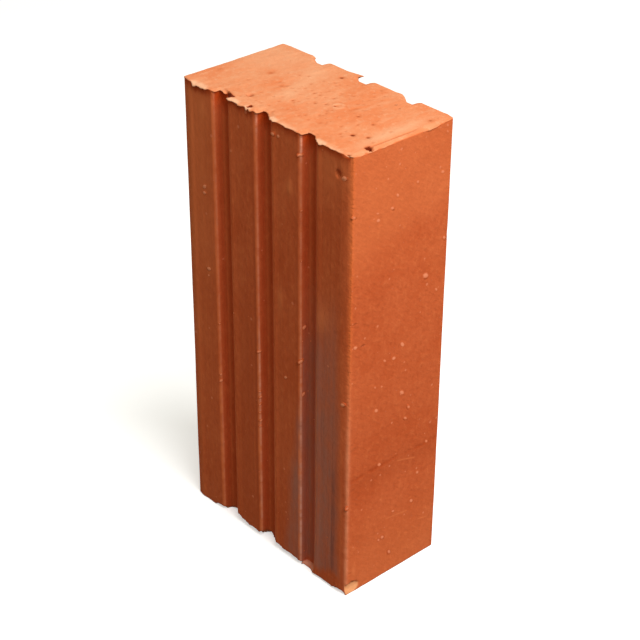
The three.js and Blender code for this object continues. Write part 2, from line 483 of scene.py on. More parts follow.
def along_the_rim(table, entry):
    """One entry of a table of bumps as a height over the outline: the tallest of the hills, each
    times its own entry."""
    tallest = np.zeros(columns)
    for bump in table:
        on, middle, half_width = bump[:3]
        height_here = (side == on) * hill(across_side(on), middle, half_width) * bump[entry]
        tallest = np.maximum(tallest, height_here)
    return tallest


def flap_profile(u):
    """How far a flap stands out, from 0 to 1, against the share u of its drop: from its root at
    the rim it swells as a quarter sine to its tip, and then falls back as a squared cosine."""
    swelling = FLAP_ROOT + (1 - FLAP_ROOT) * np.sin(np.pi / 2 * np.clip(u / FLAP_TIP, 0, 1))
    falling = np.cos(np.pi / 2 * np.clip((u - FLAP_TIP) / (1 - FLAP_TIP), 0, 1)) ** 2
    return swelling * falling


rim_points = np.column_stack([outline, np.full(columns, LENGTH)])
ragged = 1 + RAGGED * smooth_noise(rim_points, RAGGED_SIZE, 21)
bead = 1 + BEAD_RAGGED * smooth_noise(rim_points, BEAD_RAGGED_SIZE, 22)
in_mouth = eased(groove_depth_here / LIP_DROP)
bead_reach = BEAD_REACH + (MOUTH_REACH - BEAD_REACH) * in_mouth
bead_drop = BEAD_DROP + (MOUTH_DROP - BEAD_DROP) * in_mouth
reach = np.maximum(along_the_rim(FLAPS, 3) * ragged, bead_reach * bead)
drop = np.maximum(along_the_rim(FLAPS, 4) * ragged, bead_drop * bead)
lip = in_upper_half * on_end * np.clip(1 - inward[:, None] / LIP_DEPTH, 0, 1)
hang = in_upper_half * ~on_end * np.clip(1 - below_top / drop, 0, 1)
flap = reach * np.where(on_end, lip * FLAP_ROOT, flap_profile(1 - hang))
sag = FLAP_SAG * reach * np.maximum(lip, hang)
sunken_across = (side == FRONT) * hill(across_side(FRONT), SUNKEN_AT, SUNKEN_HALF_WIDTH)
sunken_down = np.where(on_end, lip, in_upper_half * np.exp(-below_top / SUNKEN_FADE))
sunken = SUNKEN * sunken_across * sunken_down
paler = along_the_rim(SMEARS, 3)
print(f"rim reaches out by up to {reach.max():.1f} mm and hangs {drop.max():.1f} mm")

# %% [markdown]
# ## Breaks
# Chips and pits are scoops with the shape of part of an ellipsoid. A point inside the ellipsoid is
# pushed in one fixed direction until it reaches the far side. That works on a face and on an edge
# alike, where pushing along the normal would tear the mesh apart.

# %% Chips and pits (mm): centre, half-lengths, direction of the push, lean
# A scoop with a lean lies that much further in for each millimetre up, so that it faces upwards.
foot_chip = ((WIDTH / 2 + 0.2, -THICKNESS / 2 + 4.8, 2.8), (1.1, 5.2, 6.0), (-1, 0, 0), 0.24)
rear_nick = ((WIDTH / 2, THICKNESS / 2 - 0.8, 190.6), (1.2, 2.2, 1.7), (-1, -0.6, 0), 0)
bed_pit = ((WIDTH / 2 - 8.3, -THICKNESS / 2, 239), (1.7, 1.4, 1.7), (0, 1, 0), 0)
end_pit = ((-WIDTH / 2 + 38, -THICKNESS / 2 + 10.6, LENGTH), (1.8, 1.5, 1), (0, 0, -1), 0)
edge_pit = ((WIDTH / 2 - 2.4, -THICKNESS / 2 + 12.8, LENGTH), (2.3, 1.5, 2.0), (-0.3, 0, -1), 0)
near_corner = ((WIDTH / 2 - 3, -THICKNESS / 2, LENGTH - 0.2), (1.8, 1.1, 1.3), (0, 0.7, -0.7), 0)
FRESH, OLD = 1, 0  # a fresh break is pale, an old one has the colour round it
BREAKS = [(*foot_chip, FRESH)]
BREAKS += [(*old_break, OLD) for old_break in (rear_nick, bed_pit, end_pit, edge_pit, near_corner)]

# The foot of the front bed is chewed beside and inside the grooves: x from the left arris, half
# width, how far in from the bed, how far up.
CHEWED = [
    (21, 6, 2.6, 2.2), (26.5, 4.4, 6.5, 3.8), (34, 5, 4.8, 5.6), (39, 7, 3.8, 3.4), (48, 9, 3.4, 2.8),
    (55.8, 4.2, 7.4, 4.0), (63.6, 4, 4, 1.6), (67, 7, 4.4, 4.0), (78, 10, 3.6, 3.2),
    (88, 5, 3.2, 2.6), (104, 9, 1.8, 1.5), (115, 5, 2.4, 2.6),
]
CHEWED_PUSH = (0, 0.8, 0.6)
for x, *size in CHEWED:
    BREAKS.append(((x - WIDTH / 2, -THICKNESS / 2, 0), size, CHEWED_PUSH, 0, OLD))
BREAK_ROUGHNESS, BREAK_GRAIN = 0.25, 1.6


def scoop(points, centre, size, push, lean):
    """How far each point moves along `push` to leave an ellipsoid: the positive root h of
    |(point - centre) / size + h * push / size| = 1 for points inside, and 0 for the rest. Both
    vectors are first sheared, x growing by lean * z, which makes the ellipsoid lean."""
    push = np.array(push) / np.linalg.norm(push)
    shear = np.array([(1, 0, lean), (0, 1, 0), (0, 0, 1)])
    q, d = (points - centre) @ shear.T / size, shear @ push / size
    a, b, c = (d * d).sum(), (q * d).sum(axis=-1), (q * q).sum(axis=-1) - 1
    h = (-b + np.sqrt(np.maximum(b * b - a * c, 0))) / a
    return np.where(c < 0, h, 0)[..., None] * push


break_push = np.zeros_like(place)
broken = np.zeros(place.shape[:-1])
for centre, size, push, lean_in, fresh in BREAKS:
    moves = scoop(place, centre, size, push, lean_in)
    break_push += moves
    broken = np.maximum(broken, fresh * np.linalg.norm(moves, axis=-1))
break_push *= (1 + BREAK_ROUGHNESS * smooth_noise(place, BREAK_GRAIN, 31))[..., None]
print("points moved by breaks:", int((break_push != 0).any(axis=-1).sum()))

# %% Clay pushed back into the foot of the third groove
# It fills a share of the groove's depth, up to a ledge, and the sloped lip leans over it.
LEDGE_SHARE, LEDGE_HEIGHT, LEDGE_RUN = 0.6, 0.7, 0.8
CREST_FROM_BED, CREST_HALF_HEIGHT = 1.5, 0.55  # where the ledge's crest gets a painted highlight
LIP_LEAN, LIP_LEAN_HEIGHT, LIP_LEAN_WIDTH, LIP_LEAN_DEPTH = 2.0, 13.0, 4.0, 6.0

third_groove = (side == FRONT) * (np.abs(outline[:, 0] - groove_centres[-1]) < groove_mouth / 2)
filled_in = np.clip(1 - inward[:, None] / END_MARGIN, 0, 1)
filled_up = 1 - eased((up_here - LEDGE_HEIGHT) / LEDGE_RUN)
filled = np.where(on_end, filled_in, filled_up) * ~in_upper_half
ledge = LEDGE_SHARE * groove_depth_here * third_groove * filled
# A painted highlight on the ledge's crest, which the sloped wall keeps in shade.
ledge_highlight = third_groove * eased(groove_depth_here / CREST_FROM_BED)
ledge_highlight = ledge_highlight * bell(up_here, LEDGE_HEIGHT + LEDGE_RUN / 2, CREST_HALF_HEIGHT)
lip_lean = LIP_LEAN * bell(place[..., 0], groove_centres[-1] + groove_mouth / 2, LIP_LEAN_WIDTH)
lip_lean *= bell(place[..., 1], -THICKNESS / 2, LIP_LEAN_DEPTH) * np.exp(-up_here / LIP_LEAN_HEIGHT)
break_push[..., 0] -= lip_lean
break_push[..., 1] -= ledge
print("ledge in the third groove:", ledge.max().round(2), "mm deep")

# %% A tongue of clay dragged over the middle groove at the rear rim
# It grows out of the sloped lip: its tip lies this far from the lip, and its root reaches this far
# along the bed and along the sloped wall.
TONGUE_TIP = np.array([5.3, 1.0, 0.4])
TONGUE_ON_BED, TONGUE_ON_WALL = 6.0, 3.0
TONGUE_THICKNESS, TONGUE_FADE = 2.2, 5.0  # how far down, and how far into the end, it is felt

past_lip = outline[:, 0] + groove_centres[1] + groove_mouth / 2
down_wall = past_lip * np.hypot(1, GROOVE_DEPTH / SLOPED_WALL_RUN) / TONGUE_ON_WALL
from_lip = np.where(past_lip > 0, down_wall, -past_lip / TONGUE_ON_BED)
root = (side == REAR) * np.clip(1 - from_lip, 0, 1)
felt = np.where(on_end, 1 - inward[:, None] / TONGUE_FADE, 1 - below_top / TONGUE_THICKNESS)
tongue = root * np.clip(felt, 0, 1) * in_upper_half
break_push += tongue[..., None] * TONGUE_TIP
print("tongue: moves", int((tongue > 0).sum()), "points")

# %% [markdown]
# ## Marks of the top end
# Beside the right stretcher the wire folded a strip of clay over. The strip slopes down to the
# edge, and a crease parts it from the rest. Further in a pebble dragged and left a ring, and small
# pits are strewn about, most of them on a slanting band across the middle.

# %% Strip, crease and ring
STRIP_WIDTH, STRIP_DROP = 2.6, 0.75
STRIP_FROM, STRIP_TO = 1, 61  # from the front bed
CREASE_DEPTH, CREASE_HALF_WIDTH = 0.5, 0.5
CREASE_FROM, CREASE_TO = 11, 47
RUN_IN, RUN_OUT = 4, 8  # over which lengths strip and crease begin and end
WANDER, WANDER_SIZE = 0.5, 9  # how far the crease strays, and over what length
RING_AT, RING_RADIUS, RING_WIDTH, RING_HEIGHT = (15.8, 0.3), 2.4, 0.8, 0.3
EDGE_BLEND = 6.0  # how far down the stretcher the sloping strip is felt

from_front = place[..., 1] + THICKNESS / 2
from_right = WIDTH / 2 - place[..., 0]


def along_the_strip(start, end):
    """1 between two distances from the front bed, with eased ends."""
    return eased((from_front - start) / RUN_IN) * eased((end - from_front) / RUN_OUT)


wander = WANDER * smooth_noise(place, WANDER_SIZE, 41)
crease = on_top * CREASE_DEPTH * along_the_strip(CREASE_FROM, CREASE_TO)
crease = crease * bell(from_right + wander, STRIP_WIDTH, CREASE_HALF_WIDTH)
strip = STRIP_DROP * along_the_strip(STRIP_FROM, STRIP_TO) * np.clip(1 - from_right / STRIP_WIDTH, 0, 1)
strip *= in_upper_half * np.where(is_side == 1, eased(1 - below_top / EDGE_BLEND), 1)
ring_distance = np.hypot(place[..., 0] - RING_AT[0], place[..., 1] - RING_AT[1])
ring = on_top * RING_HEIGHT * bell(ring_distance, RING_RADIUS, RING_WIDTH)
relief += ring - crease
print("crease", crease.max().round(2), "mm deep, ring", ring.max().round(2), "mm high")

# %% Pits of the top end: x from the left arris, distance from the front bed, radius, depth (mm)
END_PITS = np.array([
    (5, 18.7, 1.0, 0.3), (24.7, 35, 1.7, 0.3), (38.4, 10.3, 1.5, 0.7), (40, 28.5, 1.2, 0.3),
    (36, 31, 1.0, 0.3), (49.0, 2.2, 0.7, 0.9), (48.2, 1.3, 0.6, 0.9), (51.8, 56.8, 1.4, 0.5),
    (62.3, 60, 1.0, 0.4), (54.5, 50, 0.9, 0.3), (57, 34.5, 0.8, 0.4), (67.5, 37.5, 0.9, 0.4),
    (65.8, 27, 0.8, 0.4), (70, 30, 0.8, 0.4), (56.5, 21.3, 0.9, 0.4), (60, 41, 0.7, 0.3),
    (90, 32, 1.1, 0.4), (101, 31, 1.1, 0.4), (112, 31.6, 0.8, 0.3), (103, 16.5, 1.4, 0.6),
    (98.5, 13, 0.9, 0.3), (109.4, 20, 1.2, 0.5), (115, 54, 1.3, 0.4), (117.2, 12.8, 1.4, 1.6),
    (74.6, 31.6, 0.9, 0.5), (117.0, 1.0, 1.0, 0.7),
])
# A pit's mark is painted shade on its sides and floor; the crease and the slits get it too.
FULL_PIT = 0.4  # a pit this deep has the mark 1
CREASE_SHADE = 0.7  # the mark of the crease
DOT_COUNT, DOT_RADII, DOT_DEPTH = 130, (0.4, 0.8), 0.28
BAND_MIDDLE, BAND_HALF_WIDTH = (8.0, 6.0), 22.0  # most loose pits lie about this place

dice = np.random.default_rng(42)
dots = np.column_stack([
    WIDTH / 2 + BAND_MIDDLE[0] + BAND_HALF_WIDTH * dice.normal(size=DOT_COUNT),
    THICKNESS / 2 + BAND_MIDDLE[1] + BAND_HALF_WIDTH * dice.normal(size=DOT_COUNT),
    dice.uniform(*DOT_RADII, DOT_COUNT),
    np.full(DOT_COUNT, DOT_DEPTH),
])
pit = np.zeros(place.shape[:-1])
sunk = np.zeros(place.shape[:-1])
for x, y, radius, depth in np.concatenate([END_PITS, dots]):
    distance = np.hypot(place[..., 0] + WIDTH / 2 - x, place[..., 1] + THICKNESS / 2 - y)
    hollow = on_top * bell(distance, 0, radius)
    pit = np.maximum(pit, hollow * depth / FULL_PIT)
    sunk = np.maximum(sunk, hollow * depth)
relief -= sunk
pit = np.maximum(pit, CREASE_SHADE * crease / CREASE_DEPTH)
print(len(END_PITS) + DOT_COUNT, "pits, deepest", sunk.max().round(2), "mm")

# %% Slits behind two of the flaps, each a row of corners: x, distance from the front bed, half width
SLITS = [
    [(28.2, 5.0, 0.6), (30.8, 3.8, 1.0), (33.0, 2.7, 1.3), (34.8, 3.2, 0.6)],
    [(48.2, 2.8, 0.5), (48.4, 1.2, 0.8), (48.0, 0.0, 0.8)],
]
SLIT_DEPTH, SLIT_SHADE = 0.5, 3

spot = place[..., :2] + [WIDTH / 2, THICKNESS / 2]
torn_open = in_upper_half & (on_end | (hang > 0) & (in_mouth > 0.5))
slit = np.zeros(place.shape[:-1])
for corners_of_slit in map(np.array, SLITS):
    for start, end in zip(corners_of_slit[:-1], corners_of_slit[1:]):
        run = end[:2] - start[:2]
        share = np.clip((spot - start[:2]) @ run / (run @ run), 0, 1)
        distance = np.linalg.norm(spot - start[:2] - share[..., None] * run, axis=-1)
        half_width = start[2] + share * (end[2] - start[2])
        slit = np.maximum(slit, torn_open * bell(distance, 0, half_width))
relief -= SLIT_DEPTH * slit
# Painted shadow in the slits, under the torn rim.
pit = np.maximum(pit, SLIT_SHADE * slit)
print("slits:", int((slit > 0.5).sum()), "points deep in them")

# %% [markdown]
# ## The brick's mesh
# The moves are added up. The foot may not sink below the floor that the brick stands on, so heights
# under zero are cut off, and the relief there only makes hollows. What later steps need to know
# about the surface goes with it as attributes, one number for each point:
#
# - `cut`: 1 on torn clay, 0 on the drawn faces and on the undersides of the flaps
# - `pit`: painted shade on the top end: 1 in a pit that is FULL_PIT deep, more in deeper ones and in the
#   slits, and some in the crease
# - `smeared`: 1 on the flaps and on the end's surface beside them
# - `worn`: 1 on the crest of arrises and groove lips
# - `rubbed`: 1 along the near arris, where hands and trowels have been
# - `burr`: 1 on the burrs of the steep lips, pale clay with a painted highlight, and on the ledge in the
#   third groove, a painted highlight
# - `deep`: painted shade, 1 in the roots of a groove, and more under the torn rim
# - `broken`: 1 inside fresh chips
# - `tone`: above 0 where the surface is painted paler than usual, below 0 where deeper: mostly the
#   clay's own blotches, but also painted light on groove floors, painted shadow under the rim, and
#   the painted light and shade of some blotches

# %% Blotches: side, place across from its left end, height, half width, half height, tone
# On the top end the place across is from the left arris, and the height is from the front bed.
# Most blotches are the clay's own tone. Some are painted light and shade: the dark one at 112.2 mm across on
# the front bed is painted shade in the bed's pit, the long dark strips at 52.3 and 83.9 mm are painted shade
# beside the steep lips, the pale one at the foot of the right stretcher is painted light thrown up by the
# floor, and the broad pale one at the left of the top end is painted light that evens out the lamp's falloff.
# The front bed is also darker towards its foot.
BLOTCHES = [
    (FRONT, 10, 225, 14, 60, 0.45), (FRONT, 8, 100, 14, 120, 0.25), (FRONT, 5.8, 125, 2.0, 300, 0.15),
    (FRONT, 108, 240, 12, 11, 0.35), (FRONT, 60, -10, 200, 90, -0.25), (FRONT, 78.5, 220, 2.4, 3.4, 0.9),
    (FRONT, 71.2, 157, 2.0, 6.0, 0.6), (FRONT, 101.5, 158, 4.5, 7.0, 0.7),
    (FRONT, 15.5, 150, 2.0, 3.5, 0.35), (FRONT, 14.6, 237, 3.0, 4.0, 0.35),
    (FRONT, 112.2, 240.4, 1.2, 1.4, -1.6), (FRONT, 48, 120, 6, 40, -0.3), (FRONT, 45, 55, 8, 60, -0.35),
    (FRONT, 52.3, 120, 1.2, 200, -0.5), (FRONT, 83.9, 120, 1.2, 200, -0.45),
    (FRONT, 60, 250, 80, 22, 0.2), (RIGHT, 32, 189, 60, 8, 0.16), (RIGHT, 32, -5, 70, 45, 0.50),
    (RIGHT, 32, 68, 60, 7, -0.30), (RIGHT, 32, 95, 60, 50, -0.18), (RIGHT, 6.3, 13.8, 1.2, 3.2, 0.5),
    (RIGHT, 20, 170, 12, 18, -0.10), (RIGHT, 15, 225, 14, 14, 0.2), (RIGHT, 57, 178, 6, 10, 0.2),
    (END, 113, 31, 3.8, 24, 0.85), (END, 40, 50, 6, 8, 0.5), (END, 45, 37, 5, 9, 0.5),
    (END, 50, 24, 6, 7, 0.5), (END, 67, 32, 15, 11, 0.35), (END, 84, 44, 17, 14, -0.35),
    (END, 38, 27, 4.5, 6.5, -0.75), (END, 24, 35, 5, 3.5, -0.6), (END, 12, 3, 9, 3, 0.3),
    (END, 50, 5, 20, 4, 0.25), (END, 15, 52, 20, 18, 0.35), (END, 12, 40, 35, 25, 0.2),
    (END, 90, 10, 16, 7, -0.5), (END, 88, 55, 9, 7, -0.4),
]

# The small pale ones on the front bed are crumbs pressed flat by the die, and stand out a little.
RAISED, RAISED_UNDER = 0.35, 5.0  # mm for a tone of 1, and the half width under which a blotch is one
RING_TONE = 0.6

tone = RING_TONE * ring / RING_HEIGHT
for side_number, across, up, half_width, half_height, amount in BLOTCHES:
    if side_number == END:
        here, x, y = on_top, place[..., 0] + WIDTH / 2, from_front
    else:
        here, x, y = (side == side_number) * is_side, across_side(side_number), up_here
    blotch = amount * here * bell(x, across, half_width) * bell(y, up, half_height)
    tone = tone + blotch
    if side_number == FRONT and amount > 0 and half_width < RAISED_UNDER:
        relief = relief + RAISED * blotch

# A groove's floor is painted paler a little way out from its steep wall, as painted light, and darker in
# both of its roots, as painted shade. Just under the torn rim the skin is darker too, a painted
# shadow of the overhang, most of all in a groove's mouth.
FLOOR_LIGHT, FLOOR_LIGHT_AT, FLOOR_LIGHT_HALF_WIDTH = 0.35, 1.5, 1.3  # mm from the steep wall
STEEP_ROOT_SHADE, ROOT_SHADE_FULL_AT = 0.7, 4.2
RIM_SHADE, RIM_SHADE_HEIGHT, RIM_DEEP_SHADE = 1.2, 2.3, 1.5
MORE_IN_MOUTH = 0.3

steep_roots = groove_centres - groove_mouth / 2 + STEEP_WALL_RUN
beyond_root = turned_x[:, None] - steep_roots
beyond_root = beyond_root[np.arange(columns), np.abs(beyond_root - GROOVE_FLOOR / 2).argmin(axis=1)]
depth_share = groove_depth_here / GROOVE_DEPTH
root_shade_places = [0, FLOOR_LIGHT_AT, ROOT_SHADE_FULL_AT, GROOVE_FLOOR]
# Painted shade in both roots of a groove.
painted_shade = depth_share * np.interp(beyond_root, root_shade_places, [STEEP_ROOT_SHADE, 0, 1, 1])
# Painted light on the groove floor, a little way out from the steep wall.
lit_floor = FLOOR_LIGHT * (depth_share > 0.99) * bell(beyond_root, FLOOR_LIGHT_AT, FLOOR_LIGHT_HALF_WIDTH)
under_rim = np.maximum(below_top - drop, 0) / (RIM_SHADE_HEIGHT * (1 + 2 * in_mouth))
rim_shade = RIM_SHADE * (1 + MORE_IN_MOUTH * in_mouth) * bell(under_rim, 0, 1)
rim_shade = rim_shade * (side == FRONT) * (hang < 0.5) * in_upper_half
tone = tone + is_side * (lit_floor - rim_shade)
# The band under the rim is painted shadow, in the deep colour as well as in the tone.
painted_shade = np.maximum(painted_shade, rim_shade * (RIM_DEEP_SHADE + MORE_IN_MOUTH * in_mouth))
print("tone from", tone.min().round(2), "to", tone.max().round(2))

# %% Add the moves up
moved = place + normal * relief[..., None] + break_push
moved[..., :2] += outline_normal * flap[..., None]
moved[..., 2] = np.maximum(moved[..., 2] - sag - sunken - strip, 0)
print("brick spans", moved.min((0, 1)).round(2), "to", moved.max((0, 1)).round(2), "mm")

# %% What the finish needs to know about each point
NEAR_ARRIS = WIDTH / 2, ROLL_DROP - THICKNESS / 2
ARRIS_LINE = 1.4, 1.7  # how wide it is rubbed, on the bed and on the stretcher
RUBBED_HIGH_UP, RUBBED_LESS_FROM, RUBBED_LESS_RUN = 0.7, 210, 110
BREAK_FULL = 0.25  # a fresh break this deep has its full colour
FLAP_CUT_FROM, FLAP_CUT_RUN = 0.2, 0.3  # from where, and over what share of a flap, it is torn clay
SMEAR_ON_END, SMEAR_ON_FACE = 1.6, 2
LEDGE_HIGHLIGHT = 0.9

to_corner = np.hypot(*(outline - NEAR_ARRIS).T)
arris_line = bell(to_corner, 0, np.where(outline[:, 1] < NEAR_ARRIS[1], *ARRIS_LINE))
lower_down = eased((RUBBED_LESS_FROM - up_here) / RUBBED_LESS_RUN)
arris_line = arris_line * (RUBBED_HIGH_UP + (1 - RUBBED_HIGH_UP) * lower_down)

attributes = {
    "cut": np.maximum(1 - is_side, eased((hang - FLAP_CUT_FROM) / FLAP_CUT_RUN)),
    "pit": pit,
    "smeared": np.clip(np.maximum(lip * SMEAR_ON_END, hang * SMEAR_ON_FACE) * paler, 0, 1),
    "worn": np.clip(bend, 0, 1) * is_side,
    "rubbed": arris_line * is_side,
    # Burrs: pale clay with a painted highlight; the ledge's crest: a painted highlight.
    "burr": np.clip(np.maximum(burr, LEDGE_HIGHLIGHT * ledge_highlight), 0, 1) * is_side,
    "deep": painted_shade * is_side,
    "broken": eased(broken / BREAK_FULL),
    "tone": tone,
}
print({name: round(float(values.mean()), 3) for name, values in attributes.items()})


# %% Put a grid into a mesh
def grid_faces(row_count, column_count):
    """Quads of a grid that is closed round its columns: (row, column), its right neighbour, and
    the two above them, counter-clockwise seen from outside."""
    here = np.arange(row_count * column_count).reshape(row_count, column_count)
    beside = np.roll(here, -1, axis=1)
    return np.stack([here[:-1], beside[:-1], beside[1:], here[1:]], axis=-1).reshape(-1, 4)


def mesh_piece(name, points, faces, values=None):
    """A new object at the origin, from points in millimetres, with one float attribute for each
    entry of values."""
    mesh = bpy.data.meshes.new(name)
    mesh.from_pydata((points * MM).tolist(), [], faces)
    for label, numbers in (values or {}).items():
        layer = mesh.attributes.new(label, "FLOAT", "POINT")
        layer.data.foreach_set("value", np.ascontiguousarray(numbers, np.float32).ravel())
    mesh.shade_smooth()
    piece = bpy.data.objects.new(name, mesh)
    bpy.context.scene.collection.objects.link(piece)
    return piece


brick_faces = grid_faces(rows, columns).tolist()
brick = mesh_piece("fired_brick", moved.reshape(-1, 3), brick_faces, attributes)
print("brick mesh:", len(brick.data.vertices), "points")

# %% Close the two middle lines
import bmesh

WELD = 1e-7
welded = bmesh.new()
welded.from_mesh(brick.data)
bmesh.ops.remove_doubles(welded, verts=welded.verts, dist=WELD)
bmesh.ops.dissolve_degenerate(welded, edges=welded.edges, dist=WELD)
open_edges = sum(not edge.is_manifold for edge in welded.edges)
welded.to_mesh(brick.data)
welded.free()
triangles = sum(len(face.vertices) - 2 for face in brick.data.polygons)
print("after welding:", triangles, "triangles,", open_edges, "open edges")

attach(brick, "root")
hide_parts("brick")

# %% [markdown]
# ## Grit
# Sand and crushed shards are mixed into brick clay. Where a grain lies at the surface the skin rises
# over it in a low, pale swelling, and the wire leaves crumbs on the groove lips. A texture could
# paint the specks, but only real swellings catch light and give the outline its small teeth. They
# are one mesh: a low mound repeated by array arithmetic, its rim level with the skin.

# %% Where the known grains sit: side, place across from the left end of that side, height, size (mm)
KNOWN_GRAINS = [
    (RIGHT, 50.1, 171.7, 3.0), (RIGHT, 36.1, 138.5, 2.4), (RIGHT, 30.5, 132.9, 2.2),
    (RIGHT, 36.7, 110.4, 2.4), (RIGHT, 24.3, 134.1, 1.7), (RIGHT, 19.4, 107.3, 2.2),
    (RIGHT, 39.8, 93.8, 1.9), (RIGHT, 41.9, 99.5, 1.8), (RIGHT, 22.8, 73.2, 2.2),
    (RIGHT, 55.9, 72.0, 1.9), (RIGHT, 50.3, 55.0, 1.9), (RIGHT, 46.7, 38.6, 2.2),
    (RIGHT, 33.5, 38.5, 1.8), (RIGHT, 26.3, 25.3, 2.2), (RIGHT, 23.7, 24.8, 1.8),
    (RIGHT, 31.7, 12.9, 2.2), (RIGHT, 26.1, 216.2, 1.8), (RIGHT, 42.2, 224.4, 1.6),
    (RIGHT, 4.7, 149.5, 2.2), (RIGHT, 58.6, 224.2, 1.8), (RIGHT, 18.3, 121.2, 1.5),
    (RIGHT, 22.8, 119.8, 1.5), (RIGHT, 58, 161, 1.7), (RIGHT, 61.7, 188.3, 1.9),
    (RIGHT, 60.4, 247.4, 1.5), (RIGHT, 60.6, 244.2, 1.4), (RIGHT, 29.4, 221.8, 1.8),
    (RIGHT, 17.0, 216.5, 1.5), (RIGHT, 17.5, 212.8, 2.0), (RIGHT, 2.2, 219.5, 1.6),
    (RIGHT, 1.3, 56.4, 1.8), (FRONT, 14.4, 196, 2.4), (FRONT, 14.2, 192.5, 2.0), (FRONT, 16, 150, 2.4),
    (FRONT, 15.6, 146, 1.4), (FRONT, 67.3, 243, 2.0), (FRONT, 70.8, 243, 1.8), (FRONT, 75, 113, 1.8),
    (FRONT, 116.5, 117.4, 2.2), (FRONT, 115.5, 238, 2.5), (FRONT, 30, 48, 1.3), (FRONT, 85.3, 238.6, 1.8),
    (FRONT, 86.0, 146, 2.0), (FRONT, 85.5, 127, 2.0), (FRONT, 85.9, 107.5, 1.9), (FRONT, 54, 118, 1.6),
    (FRONT, 54, 94, 1.2), (FRONT, 54.1, 90.5, 1.4), (FRONT, 54, 86, 1.2), (FRONT, 54, 81, 1.1),
    (FRONT, 54.1, 76, 1.4), (FRONT, 54, 72.5, 1.2), (FRONT, 22.5, 89, 1.3), (FRONT, 22.4, 85, 1.6),
    (FRONT, 22.5, 120, 1.1),
]
LOOSE_GRAINS = 40
LOOSE_SIZES = 0.5, 1.1
GRAIN_STRETCH = 1.3, 1.9
GRAIN_SLANT = -0.64, 0.64  # how a swelling's long axis slants, in radians: elsewhere, on the front
GRAIN_SPREAD = 1.6, 1.4  # how wide a swelling is, over the grain's size: elsewhere, on the front
GRAIN_CROWN = 0.025, 0.09  # how far it stands out, over its width, likewise
GRAIN_SEGMENTS = 9
RING_RADII = np.array([0.3, 0.55, 0.8, 1.0, 1.2])  # the last ring lies under the skin
LAST_RING_LEVEL, FOOT_LEVEL = -0.6, -0.8
SPIN_DICE, LUMP_DICE = 0.35, 0.14  # how far a grain's slant and each of its points are off
CROWN_FULL, CROWN_LEAST = 2.6, 0.22  # small grains show less through the skin


# %% A mound
def mound():
    """A low mound of radius 1 and height 1: rings of points whose height is (1 - r^2)^2, and a base
    under the skin. Returns points, quads between rings, and fans of triangles at both ends."""
    angle = np.linspace(0, 2 * np.pi, GRAIN_SEGMENTS, endpoint=False)
    level = (1 - RING_RADII**2) ** 2
    level[-1] = LAST_RING_LEVEL
    rings = np.stack([
        RING_RADII[:, None] * np.cos(angle),
        RING_RADII[:, None] * np.sin(angle),
        level[:, None] * np.ones(GRAIN_SEGMENTS),
    ], axis=-1)
    points = np.concatenate([rings.reshape(-1, 3), [[0, 0, 1], [0, 0, FOOT_LEVEL]]])
    here = np.arange(rings.shape[0] * GRAIN_SEGMENTS).reshape(-1, GRAIN_SEGMENTS)
    beside = np.roll(here, -1, axis=1)
    belt = np.stack([here[1:], beside[1:], beside[:-1], here[:-1]], -1).reshape(-1, 4)
    top, foot = len(points) - 2, len(points) - 1
    crown = [[h, n, top] for h, n in zip(here[0].tolist(), beside[0].tolist())]
    base = [[n, h, foot] for h, n in zip(here[-1].tolist(), beside[-1].tolist())]
    return points, belt.tolist() + crown + base


ball, ball_faces = mound()
print("a mound:", len(ball), "points,", len(ball_faces), "faces")


# %% The point of the grid nearest to each grain, and how far off it the grain lies
def skin_index(side_number, across):
    """The column of the outline that lies nearest to a distance across one side, from its left end
    as seen from outside."""
    return np.where(side == side_number, np.abs(across_side(side_number) - across), np.inf).argmin()


dice = np.random.default_rng(51)
loose_column = dice.choice(np.flatnonzero(side >= 0), LOOSE_GRAINS)
loose_height = dice.uniform(3, LENGTH - 3, LOOSE_GRAINS)
loose_row = np.abs(height - loose_height[:, None]).argmin(axis=1)
loose_size = LOOSE_SIZES[0] + np.ptp(LOOSE_SIZES) * dice.random(LOOSE_GRAINS) ** 2
known_column = np.array([skin_index(s, across) for s, across, _, _ in KNOWN_GRAINS])
known_height = np.array([z for _, _, z, _ in KNOWN_GRAINS])
known_row = np.abs(height - known_height[:, None]).argmin(axis=1)
nearest = zip(KNOWN_GRAINS, known_column)
known_slide = [across - across_side(s)[column] for (s, across, _, _), column in nearest]
slide = np.concatenate([known_slide, np.zeros(LOOSE_GRAINS)])[:, None]
rise = np.concatenate([known_height - height[known_row], np.zeros(LOOSE_GRAINS)])[:, None]
grain_column = np.concatenate([known_column, loose_column])
grain_row = np.concatenate([known_row, loose_row])
grain_size = np.concatenate([[size for *_, size in KNOWN_GRAINS], loose_size])
print("grains:", len(KNOWN_GRAINS), "in known places and", LOOSE_GRAINS, "loose ones")

# %% Copy the mound to every grain
out = outline_normal[grain_column]
along = np.column_stack([-out[:, 1], out[:, 0]])
on_front = (side[grain_column] == FRONT).astype(int)
spin = np.array(GRAIN_SLANT)[on_front] + dice.uniform(-SPIN_DICE, SPIN_DICE, len(grain_size))
stretch = dice.uniform(*GRAIN_STRETCH, (len(grain_size), 1))
lumps = 1 + LUMP_DICE * dice.uniform(-1, 1, (len(grain_size), len(ball)))
spread, crown = np.array(GRAIN_SPREAD)[on_front], np.array(GRAIN_CROWN)[on_front]
local = ball[None] * lumps[..., None] * (spread * grain_size / 2)[:, None, None]
local[..., 0] *= np.sqrt(stretch)
local[..., 1] /= np.sqrt(stretch)
local[..., 2] *= 2 * crown[:, None]
level = slide + np.cos(spin)[:, None] * local[..., 0] - np.sin(spin)[:, None] * local[..., 1]
upright = rise + np.sin(spin)[:, None] * local[..., 0] + np.cos(spin)[:, None] * local[..., 1]
